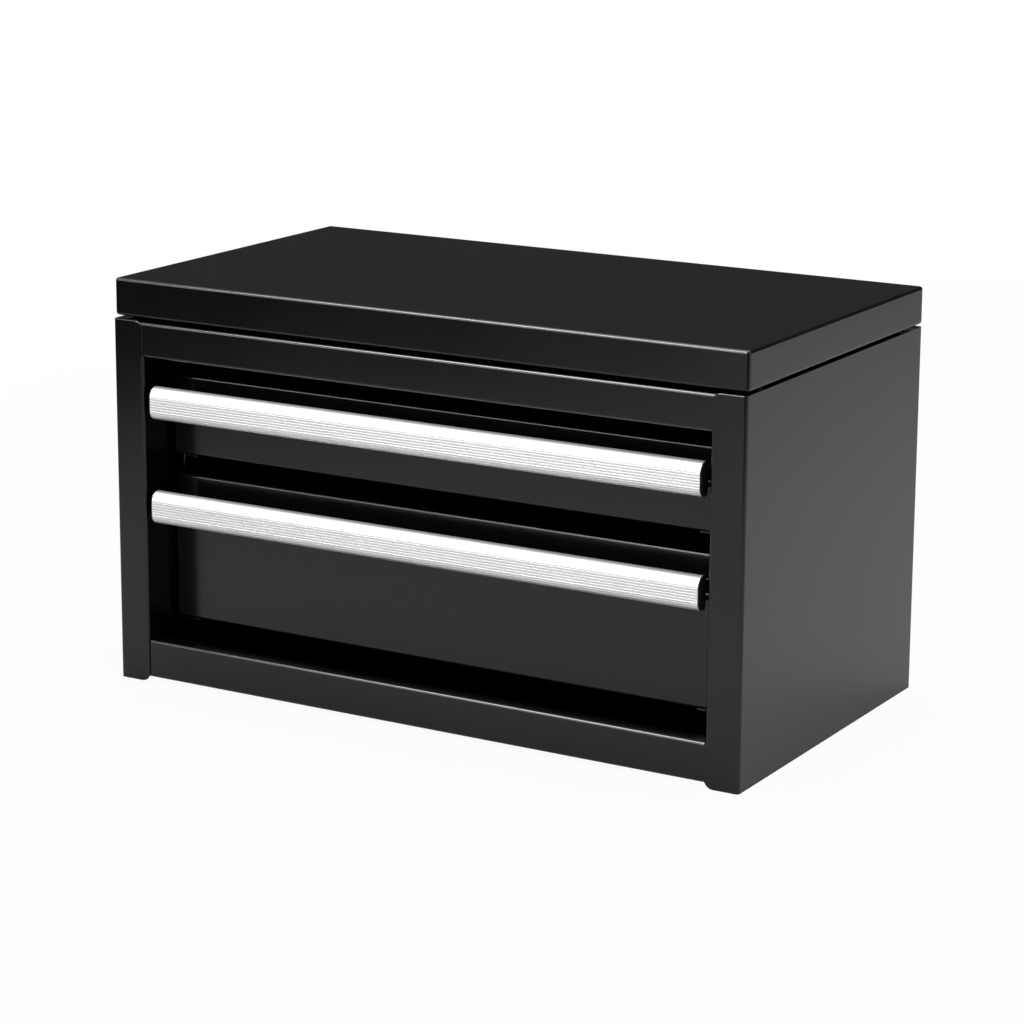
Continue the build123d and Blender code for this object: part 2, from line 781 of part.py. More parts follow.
save(
    hinge_leaf(0, back_panel_y, cabinet_leaf_top - leaf_height, cabinet_leaf_top, hinge_z,
               pin_radius, cabinet_hinge_rivet_z).part,
    "hinge_leaf_cabinet",
)
save(
    hinge_leaf(1, back_y, lid_leaf_bottom, hinge_z + pin_radius, lid_leaf_bottom,
               pin_radius + pin_running_fit, lid_hinge_rivet_z).part,
    "hinge_leaf_lid",
)

with BuildPart() as hinge_pin:
    with BuildSketch(from_left(-hinge_half)):
        with Locations((hinge_y, hinge_z)):
            Circle(pin_radius)
    extrude(amount=2 * hinge_half)
save(hinge_pin.part, "hinge_pin")

with BuildPart() as hinge_rivets_cabinet:
    for x in hinge_rivet_xs:
        rivet((x, back_y, cabinet_hinge_rivet_z), (0, 1, 0), leaf_sheet + sheet)
save(hinge_rivets_cabinet.part, "hinge_rivets_cabinet")

with BuildPart() as hinge_rivets_lid:
    for x in hinge_rivet_xs:
        rivet((x, back_y + leaf_sheet, lid_hinge_rivet_z), (0, 1, 0), leaf_sheet + sheet)
save(hinge_rivets_lid.part, "hinge_rivets_lid")
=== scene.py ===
"""Looks of a two-drawer machinist tool chest: black folded sheet steel and fluted aluminium pulls.

Every size is in metres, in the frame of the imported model: +Z is up, +X is to the right of someone who
faces the drawers, and the drawers open towards -Y. Places come from the frame's own pieces.
"""

from __future__ import annotations

import json
import logging
import math
from collections.abc import Callable, Sequence
from dataclasses import dataclass
from enum import Enum

import bmesh
import bpy
from mathutils import Matrix, Vector

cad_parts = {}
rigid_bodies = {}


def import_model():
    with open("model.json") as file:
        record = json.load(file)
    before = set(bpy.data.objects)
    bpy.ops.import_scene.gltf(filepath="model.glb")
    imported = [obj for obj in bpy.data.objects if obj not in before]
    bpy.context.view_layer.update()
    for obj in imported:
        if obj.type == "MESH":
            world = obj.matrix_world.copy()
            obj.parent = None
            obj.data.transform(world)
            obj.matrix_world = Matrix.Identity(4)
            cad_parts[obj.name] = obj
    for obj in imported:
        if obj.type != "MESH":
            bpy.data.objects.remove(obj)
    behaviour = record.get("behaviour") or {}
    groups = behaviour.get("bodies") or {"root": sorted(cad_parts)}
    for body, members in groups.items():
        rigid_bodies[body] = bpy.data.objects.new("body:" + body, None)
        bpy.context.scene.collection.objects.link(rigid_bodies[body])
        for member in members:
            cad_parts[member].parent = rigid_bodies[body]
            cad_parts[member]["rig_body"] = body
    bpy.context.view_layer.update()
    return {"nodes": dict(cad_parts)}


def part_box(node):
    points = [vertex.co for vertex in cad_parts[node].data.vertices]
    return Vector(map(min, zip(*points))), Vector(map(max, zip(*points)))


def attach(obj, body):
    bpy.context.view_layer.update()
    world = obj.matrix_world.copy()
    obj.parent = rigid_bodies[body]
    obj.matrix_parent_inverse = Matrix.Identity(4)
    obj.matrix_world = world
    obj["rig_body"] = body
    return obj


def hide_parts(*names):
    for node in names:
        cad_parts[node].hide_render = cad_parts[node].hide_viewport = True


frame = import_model()

log = logging.getLogger("tool_chest")

MM = 0.001
TOUCH = 0.02 * MM  # two places closer than this are one
SIDES = {"left": -1, "right": 1}
DRAWERS = ("upper", "lower")
SHEET = 1.0 * MM  # thickness of the body's sheet
BEND = 3.0 * MM  # outer radius of its bends
BEND_STEPS = 6
RIM_STEPS = 4
CUT_EDGE = 0.22 * MM  # width of the softened cut edges


# ------------------------------------------------------------------------------ bench work
class Axis(Enum):
    """Axis of the frame."""

    X = 0
    Y = 1
    Z = 2


class Domain(Enum):
    """Kind of mesh element that is picked in edit mode."""

    POINTS = "VERT"
    EDGES = "EDGE"
    FACES = "FACE"


@dataclass
class Span:
    """Box in the frame, such as that of one of the chest's pieces."""

    low: Vector
    high: Vector

    @classmethod
    def of(cls, node: str) -> Span:
        """Box of a CAD node at rest."""
        return cls(*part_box(node))

    @property
    def middle(self) -> Vector:
        """Centre of the box."""
        return (self.low + self.high) / 2

    @property
    def size(self) -> Vector:
        """Lengths of the box's sides."""
        return self.high - self.low


def spread(count: int, first: float, last: float) -> list[float]:
    """Evenly spaced places from the first to the last."""
    return [first + (last - first) * step / (count - 1) for step in range(count)]


def focus(*pieces: bpy.types.Object) -> None:
    """Select only these objects, with the first one active.

    Args:
        *pieces: objects to select.
    """
    if bpy.context.mode != "OBJECT":
        bpy.ops.object.mode_set(mode="OBJECT")
    bpy.ops.object.select_all(action="DESELECT")
    for piece in pieces:
        piece.select_set(True)
    bpy.context.view_layer.objects.active = pieces[0]


def settle(piece: bpy.types.Object, name: str) -> bpy.types.Object:
    """Name a new object and put its place, turn and scale into its mesh.

    Args:
        piece: the new object.
        name: its name, and its mesh's.

    Returns:
        The same object.
    """
    piece.name = name
    piece.data.name = name
    focus(piece)
    bpy.ops.object.transform_apply(location=True, rotation=True, scale=True)
    return piece


def add_block(name: str, low: Vector, high: Vector) -> bpy.types.Object:
    """Block between two corners, the start of a piece.

    Args:
        name: name of the block.
        low: its lowest corner.
        high: its highest corner.

    Returns:
        The block.
    """
    bpy.ops.object.select_all(action="DESELECT")
    bpy.ops.mesh.primitive_cube_add(size=1, location=(low + high) / 2, scale=high - low)
    return settle(bpy.context.object, name)


def add_rod(name: str, start: Vector, end: Vector, radius: float, sides: int = 24) -> bpy.types.Object:
    """Round rod from one point to another, the start of a piece.

    Args:
        name: name of the rod.
        start: middle of its first end.
        end: middle of its other end.
        radius: its radius.
        sides: faces round it.

    Returns:
        The rod.
    """
    bpy.ops.object.select_all(action="DESELECT")
    turn = (end - start).to_track_quat("Z", "Y").to_euler()
    bpy.ops.mesh.primitive_cylinder_add(
        vertices=sides, radius=radius, depth=(end - start).length, location=(start + end) / 2, rotation=turn
    )
    return settle(bpy.context.object, name)


def apply_modifier(piece: bpy.types.Object, kind: str, **settings: object) -> None:
    """Add a modifier with these settings and apply it.

    Args:
        piece: object that gets the modifier.
        kind: Blender's name of the modifier.
        **settings: the modifier's own values.
    """
    focus(piece)
    bpy.ops.object.modifier_add(type=kind)
    modifier = piece.modifiers[-1]
    for key, value in settings.items():
        setattr(modifier, key, value)
    bpy.ops.object.modifier_apply(modifier=modifier.name)


def join(name: str, pieces: Sequence[bpy.types.Object]) -> bpy.types.Object:
    """Join several objects into one mesh under a name.

    Args:
        name: name of the joined object.
        pieces: objects to join.

    Returns:
        The joined object.
    """
    focus(*pieces)
    if len(pieces) > 1:
        bpy.ops.object.join()
    return settle(bpy.context.object, name)


def copy_to(piece: bpy.types.Object, place: Matrix) -> bpy.types.Object:
    """Copy of a piece with its own mesh, moved by a matrix.

    Args:
        piece: object to copy.
        place: where the copy goes.

    Returns:
        The copy.
    """
    focus(piece)
    bpy.ops.object.duplicate(linked=False)
    made = bpy.context.object
    made.matrix_world = place
    return settle(made, piece.name)


def discard(piece: bpy.types.Object) -> None:
    """Delete a pattern piece that has been copied or cut with."""
    focus(piece)
    bpy.ops.object.delete()


def on_plane(axis: Axis, value: float) -> Callable[[object], bool]:
    """Test that says whether an edge or face lies on a plane across an axis."""
    return lambda item: all(abs(v.co[axis.value] - value) < TOUCH for v in item.verts)


def along(axis: Axis) -> Callable[[object], bool]:
    """Test that says whether an edge runs along an axis."""
    others = [index for index in range(3) if index != axis.value]
    return lambda edge: all(abs(edge.verts[0].co[i] - edge.verts[1].co[i]) < TOUCH for i in others)


class Bench:
    """Edit-mode work on one mesh, the way it is done by hand."""

    def __init__(self, piece: bpy.types.Object) -> None:
        """Take a piece to the bench."""
        self.piece = piece

    def __enter__(self) -> Bench:
        """Open the piece in edit mode.

        Returns:
            The bench.
        """
        focus(self.piece)
        bpy.ops.object.mode_set(mode="EDIT")
        return self

    def __exit__(self, *_stopped: object) -> None:
        """Leave edit mode."""
        bpy.ops.object.mode_set(mode="OBJECT")

    def pick(self, domain: Domain, *tests: Callable[[object], bool]) -> int:
        """Select the elements that pass every test, and nothing else.

        Args:
            domain: points, edges or faces.
            *tests: functions of one element.

        Returns:
            How many were selected.
        """
        bpy.ops.mesh.select_mode(type=domain.value)
        bpy.ops.mesh.select_all(action="DESELECT")
        mesh = bmesh.from_edit_mesh(self.piece.data)
        items = {Domain.POINTS: mesh.verts, Domain.EDGES: mesh.edges, Domain.FACES: mesh.faces}[domain]
        chosen = [item for item in items if all(test(item) for test in tests)]
        for item in chosen:
            item.select_set(True)
        mesh.select_flush_mode()
        bmesh.update_edit_mesh(self.piece.data)
        return len(chosen)

    def round_edges(self, radius: float, steps: int, *tests: Callable[[object], bool]) -> None:
        """Round the edges that pass every test."""
        if self.pick(Domain.EDGES, *tests):
            bpy.ops.mesh.bevel(offset=radius, segments=steps, affect="EDGES", clamp_overlap=True)

    def round_points(self, radius: float, steps: int, *tests: Callable[[object], bool]) -> None:
        """Round the sheet's corners that pass every test."""
        if self.pick(Domain.POINTS, *tests):
            bpy.ops.mesh.bevel(offset=radius, segments=steps, affect="VERTICES", clamp_overlap=True)

    def remove_faces(self, *tests: Callable[[object], bool]) -> None:
        """Delete the faces that pass every test."""
        if self.pick(Domain.FACES, *tests):
            bpy.ops.mesh.delete(type="FACE")

    def extrude(self, step: Vector) -> None:
        """Extrude what is selected by a step."""
        bpy.ops.mesh.extrude_region_move(
            TRANSFORM_OT_translate={"value": tuple(step), "orient_type": "GLOBAL"}
        )

    def resize(self, factors: Vector, centre: Vector) -> None:
        """Scale what is selected about a centre."""
        bpy.ops.transform.resize(value=tuple(factors), orient_type="GLOBAL", center_override=tuple(centre))

    def split_at(self, axis: Axis, value: float) -> None:
        """Cut every face across an axis, without taking anything away.

        Args:
            axis: axis across which the cut runs.
            value: place of the cut along it.
        """
        point, normal = Vector(), Vector()
        point[axis.value] = value
        normal[axis.value] = 1
        bpy.ops.mesh.select_all(action="SELECT")
        bpy.ops.mesh.bisect(plane_co=point, plane_no=normal)


def soften(piece: bpy.types.Object, width: float = CUT_EDGE, limit: float = 50, steps: int = 2) -> None:
    """Round a piece's sharp edges a little and let its light run smoothly over its bends.

    Args:
        piece: mesh to finish.
        width: how far the rounding reaches from each edge.
        limit: least angle in degrees of an edge that is rounded.
        steps: faces across each rounding.
    """
    apply_modifier(
        piece, "BEVEL", width=width, segments=steps, limit_method="ANGLE",
        angle_limit=math.radians(limit), use_clamp_overlap=True,
    )
    smooth(piece)


def smooth(piece: bpy.types.Object, angle: float = 50) -> None:
    """Shade the bends smooth and keep the flats flat.

    Args:
        piece: mesh to shade.
        angle: least angle in degrees of an edge that stays sharp.
    """
    focus(piece)
    bpy.ops.object.shade_smooth_by_angle(angle=math.radians(angle))
    apply_modifier(piece, "WEIGHTED_NORMAL", mode="FACE_AREA", weight=100, keep_sharp=True)


@dataclass
class FoldedSheet:
    """Strip of sheet folded along straight lines.

    Attributes:
        name: name of the piece.
        path: points of one skin's section, at the start of the run.
        run: the strip's length along its folds.
        inside: a point on the side of the path's first leg where the sheet's thickness lies.
        thickness: thickness of the sheet.
        radius: outer radius of the folds.
    """

    name: str
    path: Sequence[Vector]
    run: Vector
    inside: Vector
    thickness: float = SHEET
    radius: float = BEND

    def lay_out(self) -> bpy.types.Object:
        """Make the skin with sharp folds, one leg after another.

        Returns:
            The skin, without thickness.
        """
        leg = self.path[1] - self.path[0]
        across, along_run = leg.normalized(), self.run.normalized()
        turn = Matrix((across, along_run, across.cross(along_run))).transposed().to_euler()
        bpy.ops.object.select_all(action="DESELECT")
        bpy.ops.mesh.primitive_plane_add(
            size=1, location=self.path[0] + (leg + self.run) / 2, rotation=turn
        )
        bpy.context.object.scale = (leg.length, self.run.length, 1)
        piece = settle(bpy.context.object, self.name)
        with Bench(piece) as bench:
            bench.pick(Domain.EDGES, self.on_line(self.path[1]))
            for start, end in zip(self.path[1:], self.path[2:]):
                bench.extrude(end - start)
        return piece

    def on_line(self, point: Vector) -> Callable[[object], bool]:
        """Test that says whether an edge lies on the fold line through a point."""
        direction = self.run.normalized()
        return lambda edge: all((v.co - point).cross(direction).length < TOUCH for v in edge.verts)

    def fold(self, piece: bpy.types.Object, steps: int = BEND_STEPS) -> None:
        """Round every fold of the laid-out skin.

        Args:
            piece: the laid-out skin.
            steps: faces across each bend.
        """
        with Bench(piece) as bench:
            for before, here, after in zip(self.path, self.path[1:], self.path[2:]):
                turn = (here - before).angle(after - here)
                bench.round_edges(self.radius * math.tan(turn / 2), steps, self.on_line(here))

    def thicken(self, piece: bpy.types.Object) -> None:
        """Give the skin its thickness on the inner side.

        Args:
            piece: the folded skin.
        """
        normal = (self.path[1] - self.path[0]).cross(self.run)
        towards = normal.dot(self.inside - self.path[0])
        apply_modifier(
            piece, "SOLIDIFY", thickness=self.thickness, offset=math.copysign(1, towards),
            use_even_offset=True,
        )

    def build(self) -> bpy.types.Object:
        """Make the whole piece.

        Returns:
            The finished mesh object.
        """
        piece = self.lay_out()
        self.fold(piece)
        self.thicken(piece)
        soften(piece)
        return piece


@dataclass
class Tray:
    """Sheet pressed or folded into a tray with rounded corners and one open side.

    Attributes:
        name: name of the piece.
        span: outer box.
        axis: axis along which the tray is open.
        opens_high: True where the open side is at the axis's high end.
        corner: radius of the four corners.
        rim: radius between the walls and the closed side.
        lip: width of an inward lip round the open side.
        lip_bend: radius between the walls and the lip.
    """

    name: str
    span: Span
    axis: Axis
    opens_high: bool
    corner: float
    rim: float
    lip: float = 0.0
    lip_bend: float = 0.0

    def build(self) -> bpy.types.Object:
        """Make the whole piece.

        Returns:
            The finished mesh object.
        """
        low, high, axis = self.span.low, self.span.high, self.axis
        opening = (high if self.opens_high else low)[axis.value]
        closed = (low if self.opens_high else high)[axis.value]
        piece = add_block(self.name, low, high)
        with Bench(piece) as bench:
            bench.round_edges(self.corner, BEND_STEPS, along(axis))
            bench.round_edges(self.rim, BEND_STEPS, on_plane(axis, closed))
            bench.remove_faces(on_plane(axis, opening))
            if self.lip:
                bench.pick(Domain.EDGES, on_plane(axis, opening))
                bench.extrude(Vector())
                factors = Vector([1 if i == axis.value else 1 - 2 * self.lip / length
                                  for i, length in enumerate(self.span.size)])
                bench.resize(factors, self.span.middle)
                bench.round_edges(self.lip_bend, BEND_STEPS, on_plane(axis, opening), self.on_wall)
        apply_modifier(piece, "SOLIDIFY", thickness=SHEET, offset=-1, use_even_offset=True)
        soften(piece)
        return piece

    def on_wall(self, edge: object) -> bool:
        """Say whether an edge lies on the outer walls.

        Args:
            edge: edge of the tray.

        Returns:
            True for an edge on the walls, and False for one of the lip's own.
        """
        reach = (self.corner + TOUCH) / 3
        low, high = self.span.low, self.span.high
        others = [i for i in range(3) if i != self.axis.value]
        return all(
            any(min(v.co[i] - low[i], high[i] - v.co[i]) < reach for i in others) for v in edge.verts
        )


# ------------------------------------------------------------------------------ shader groups
Colour = tuple[float, float, float]


class Wiring:
    """Small helper that adds and joins shader nodes in one tree."""

    def __init__(self, tree: bpy.types.NodeTree) -> None:
        """Start on a node tree."""
        self.tree = tree

    def add(self, kind: str, **values: object) -> bpy.types.Node:
        """Add a node and set its properties, or its inputs where the name is that of an input.

        Args:
            kind: Blender's name of the node.
            **values: values of its properties and inputs.

        Returns:
            The node.
        """
        node = self.tree.nodes.new(kind)
        for key, value in values.items():
            label = key.replace("_", " ").title()
            if label in node.inputs:
                node.inputs[label].default_value = value
            else:
                setattr(node, key, value)
        return node

    def link(self, source: bpy.types.NodeSocket, target: bpy.types.NodeSocket) -> None:
        """Join an output to an input."""
        self.tree.links.new(source, target)

    def blend(self, mask: bpy.types.NodeSocket, low: float, high: float) -> bpy.types.NodeSocket:
        """Value that runs from low to high with a mask.

        Args:
            mask: value from 0 to 1.
            low: result where the mask is 0.
            high: result where it is 1.

        Returns:
            The result's output.
        """
        node = self.add("ShaderNodeMapRange")
        self.link(mask, node.inputs["Value"])
        node.inputs["To Min"].default_value = low
        node.inputs["To Max"].default_value = high
        return node.outputs["Result"]

    def tint(self, mask: bpy.types.NodeSocket, low: Colour, high: Colour) -> bpy.types.NodeSocket:
        """Colour that runs from low to high with a mask.

        Args:
            mask: value from 0 to 1.
            low: colour where the mask is 0.
            high: colour where it is 1.

        Returns:
            The colour's output.
        """
        node = self.add("ShaderNodeMix", data_type="RGBA")
        self.link(mask, node.inputs[0])
        node.inputs[6].default_value = (*low, 1)
        node.inputs[7].default_value = (*high, 1)
        return node.outputs[2]

    def combine(self, operation: str, *values: bpy.types.NodeSocket) -> bpy.types.NodeSocket:
        """Put several values together with one Math operation.

        Args:
            operation: Blender's name of the operation.
            *values: outputs that it takes, in order.

        Returns:
            The last result's output.
        """
        total = values[0]
        for value in values[1:]:
            node = self.add("ShaderNodeMath", operation=operation)
            self.link(total, node.inputs[0])
            self.link(value, node.inputs[1])
            total = node.outputs[0]
        return total


def start_group(name: str, inputs: dict[str, float], outputs: Sequence[str]) -> tuple:
    """New shader group with a vector input, named numbers and named value outputs.

    Args:
        name: the group's name.
        inputs: names and default values of its numbers.
        outputs: names of its values.

    Returns:
        The group, its wiring, its input node and its output node.
    """
    group = bpy.data.node_groups.new(name, "ShaderNodeTree")
    group.interface.new_socket("Vector", in_out="INPUT", socket_type="NodeSocketVector")
    for label, value in inputs.items():
        socket = group.interface.new_socket(label, in_out="INPUT", socket_type="NodeSocketFloat")
        socket.default_value = value
    for label in outputs:
        group.interface.new_socket(label, in_out="OUTPUT", socket_type="NodeSocketFloat")
    wiring = Wiring(group)
    return group, wiring, wiring.add("NodeGroupInput"), wiring.add("NodeGroupOutput")


def pebble_group() -> bpy.types.NodeTree:
    """Fine pebbled skin of powder coat or moulded plastic, as a height from 0 to 1.

    Returns:
        The group.
    """
    group, wiring, entry, leave = start_group("pebbled_skin", {"Scale": 900.0, "Detail": 2.0}, ["Height"])
    cells = wiring.add("ShaderNodeTexVoronoi", feature="SMOOTH_F1")
    cells.inputs["Smoothness"].default_value = 1.0
    grains = wiring.add("ShaderNodeTexNoise")
    for node in (cells, grains):
        wiring.link(entry.outputs["Vector"], node.inputs["Vector"])
        wiring.link(entry.outputs["Scale"], node.inputs["Scale"])
    wiring.link(entry.outputs["Detail"], grains.inputs["Detail"])
    both = wiring.combine("ADD", cells.outputs["Distance"], grains.outputs["Fac"])
    half = wiring.add("ShaderNodeMath", operation="MULTIPLY")
    half.inputs[1].default_value = 0.5
    wiring.link(both, half.inputs[0])
    wiring.link(half.outputs[0], leave.inputs["Height"])
    return group


def cloud_group() -> bpy.types.NodeTree:
    """Soft uneven patches, as a mask from 0 to 1: film thickness, handling and light dust.

    Returns:
        The group.
    """
    group, wiring, entry, leave = start_group("soft_patches", {"Scale": 9.0, "Contrast": 0.25}, ["Mask"])
    patches = wiring.add("ShaderNodeTexNoise", detail=4.0, roughness=0.6)
    wiring.link(entry.outputs["Vector"], patches.inputs["Vector"])
    wiring.link(entry.outputs["Scale"], patches.inputs["Scale"])
    low = wiring.add("ShaderNodeMath", operation="SUBTRACT")
    high = wiring.add("ShaderNodeMath", operation="ADD")
    for node in (low, high):
        node.inputs[0].default_value = 0.5
        wiring.link(entry.outputs["Contrast"], node.inputs[1])
    stretch = wiring.add("ShaderNodeMapRange", interpolation_type="SMOOTHSTEP")
    wiring.link(patches.outputs["Fac"], stretch.inputs["Value"])
    wiring.link(low.outputs[0], stretch.inputs["From Min"])
    wiring.link(high.outputs[0], stretch.inputs["From Max"])
    wiring.link(stretch.outputs["Result"], leave.inputs["Mask"])
    return group


def grain_group() -> bpy.types.NodeTree:
    """Fine lines along X, left by a die or a brush, as a mask from 0 to 1.

    Returns:
        The group.
    """
    group, wiring, entry, leave = start_group("drawn_lines", {"Scale": 700.0, "Stretch": 0.01}, ["Lines"])
    squeeze = wiring.add("ShaderNodeCombineXYZ", y=1.0, z=1.0)
    wiring.link(entry.outputs["Stretch"], squeeze.inputs["X"])
    shape = wiring.add("ShaderNodeVectorMath", operation="MULTIPLY")
    wiring.link(entry.outputs["Vector"], shape.inputs[0])
    wiring.link(squeeze.outputs[0], shape.inputs[1])
    lines = wiring.add("ShaderNodeTexNoise", detail=3.0, roughness=0.7)
    wiring.link(shape.outputs[0], lines.inputs["Vector"])
    wiring.link(entry.outputs["Scale"], lines.inputs["Scale"])
    wiring.link(lines.outputs["Fac"], leave.inputs["Lines"])
    return group


PEBBLES = pebble_group()
CLOUDS = cloud_group()
GRAIN = grain_group()


# ------------------------------------------------------------------------------ finishes
@dataclass(frozen=True)
class Finish:
    """Surface finish of one kind of piece.

    Attributes:
        slot: the record's material slot.
        colour: base colour, linear.
        deep_colour: base colour in the other patches.
        roughness: smallest and largest roughness.
        metallic: 1 for bare metal.
        specular: specular level.
        texture: shader group that gives the relief.
        scale: scale of the relief.
        depth: height of the relief.
        patch_scale: scale of the uneven patches.
    """

    slot: str
    colour: Colour
    deep_colour: Colour
    roughness: tuple[float, float]
    metallic: float = 0.0
    specular: float = 0.5
    texture: bpy.types.NodeTree = PEBBLES
    scale: float = 900.0
    depth: float = 0.01 * MM
    patch_scale: float = 9.0

    def material(self) -> bpy.types.Material:
        """Node material of this finish, made once.

        Returns:
            The material.
        """
        name = f"{self.slot}_surface"
        made = bpy.data.materials.get(name)
        if made:
            return made
        made = bpy.data.materials.new(name)
        made.use_nodes = True
        wiring = Wiring(made.node_tree)
        shader = made.node_tree.nodes["Principled BSDF"]
        shader.inputs["Metallic"].default_value = self.metallic
        shader.inputs["Specular IOR Level"].default_value = self.specular
        place = wiring.add("ShaderNodeTexCoord").outputs["Object"]
        patches = wiring.add("ShaderNodeGroup", node_tree=CLOUDS)
        patches.inputs["Scale"].default_value = self.patch_scale
        relief = wiring.add("ShaderNodeGroup", node_tree=self.texture)
        relief.inputs["Scale"].default_value = self.scale
        for node in (patches, relief):
            wiring.link(place, node.inputs["Vector"])
        mask = patches.outputs["Mask"]
        wiring.link(wiring.tint(mask, self.colour, self.deep_colour), shader.inputs["Base Color"])
        wiring.link(wiring.blend(mask, *self.roughness), shader.inputs["Roughness"])
        bump = wiring.add("ShaderNodeBump")
        bump.inputs["Distance"].default_value = self.depth
        wiring.link(relief.outputs[0], bump.inputs["Height"])
        wiring.link(bump.outputs["Normal"], shader.inputs["Normal"])
        return made


POWDER_COAT = Finish(
    "black_powder_coat", (0.0026, 0.0026, 0.0028), (0.0034, 0.0034, 0.0036), (0.18, 0.22),
    specular=0.45, scale=1100.0, depth=0.012 * MM, patch_scale=6.0,
)
PULL_ALUMINIUM = Finish(
    "pull_aluminium", (0.66, 0.66, 0.665), (0.63, 0.63, 0.635), (0.50, 0.54),
    metallic=1.0, texture=GRAIN, scale=900.0, depth=0.0012 * MM, patch_scale=14.0,
)
CAP_PLASTIC = Finish(
    "cap_plastic", (0.010, 0.010, 0.010), (0.014, 0.014, 0.014), (0.42, 0.52),
    specular=0.4, scale=1500.0, depth=0.02 * MM, patch_scale=40.0,
)
ZINC_SLIDE = Finish(
    "zinc_slide", (0.62, 0.63, 0.65), (0.52, 0.53, 0.56), (0.24, 0.36),
    metallic=1.0, texture=GRAIN, scale=500.0, depth=0.006 * MM, patch_scale=55.0,
)
RIVET_STEEL = Finish(
    "rivet_steel", (0.020, 0.020, 0.021), (0.030, 0.030, 0.031), (0.28, 0.38),
    specular=0.5, scale=1400.0, depth=0.01 * MM, patch_scale=60.0,
)
PIN_STEEL = Finish(
    "pin_steel", (0.55, 0.55, 0.57), (0.44, 0.44, 0.46), (0.22, 0.32),
    metallic=1.0, texture=GRAIN, scale=1200.0, depth=0.004 * MM, patch_scale=60.0,
)
LINER_MAT = Finish(
    "liner_mat", (0.030, 0.030, 0.032), (0.040, 0.040, 0.042), (0.72, 0.84),
    specular=0.3, scale=2200.0, depth=0.05 * MM, patch_scale=18.0,
)
BUMPER_RUBBER = Finish(
    "bumper_rubber", (0.013, 0.013, 0.013), (0.018, 0.018, 0.018), (0.62, 0.75),
    specular=0.35, scale=1800.0, depth=0.02 * MM, patch_scale=60.0,
)


def paint(piece: bpy.types.Object, finish: Finish) -> None:
    """Give a mesh one finish all over."""
    piece.data.materials.clear()
    piece.data.materials.append(finish.material())


def stand_for(piece: bpy.types.Object, node: str, finish: Finish) -> bpy.types.Object:
    """Finish a new piece and let it stand for a CAD node, on that node's body.

    Args:
        piece: the finished mesh.
        node: CAD node that it replaces.
        finish: its surface.

    Returns:
        The piece.
    """
    paint(piece, finish)
    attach(piece, frame["nodes"][node]["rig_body"])
    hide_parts(node)
    log.info("%s: %d faces", piece.name, len(piece.data.polygons))
    return piece


def keep_node(node: str, finish: Finish) -> None:
    """Give a CAD node whose shape is right its finish.

    Args:
        node: CAD node that stays.
        finish: its surface.
    """
    piece = frame["nodes"][node]
    paint(piece, finish)
    log.info("%s: kept, %s", node, finish.slot)


def cast_node(node: str, finish: Finish, edge: float = CUT_EDGE) -> bpy.types.Object:
    """Copy a CAD node, merge its loose triangles and soften its edges.

    Args:
        node: CAD node to copy.
        finish: surface of the copy.
        edge: width of the softened edges.

    Returns:
        The piece that stands for the node.
    """
    source = frame["nodes"][node]
    piece = bpy.data.objects.new(f"{node}_finished", source.data.copy())
    bpy.context.scene.collection.objects.link(piece)
    with Bench(piece):
        bpy.ops.mesh.select_all(action="SELECT")
        bpy.ops.mesh.remove_doubles(threshold=TOUCH / 10)
        bpy.ops.mesh.customdata_custom_splitnormals_clear()
        bpy.ops.mesh.dissolve_limited(angle_limit=math.radians(0.5))
    soften(piece, edge)
    return stand_for(piece, node, finish)


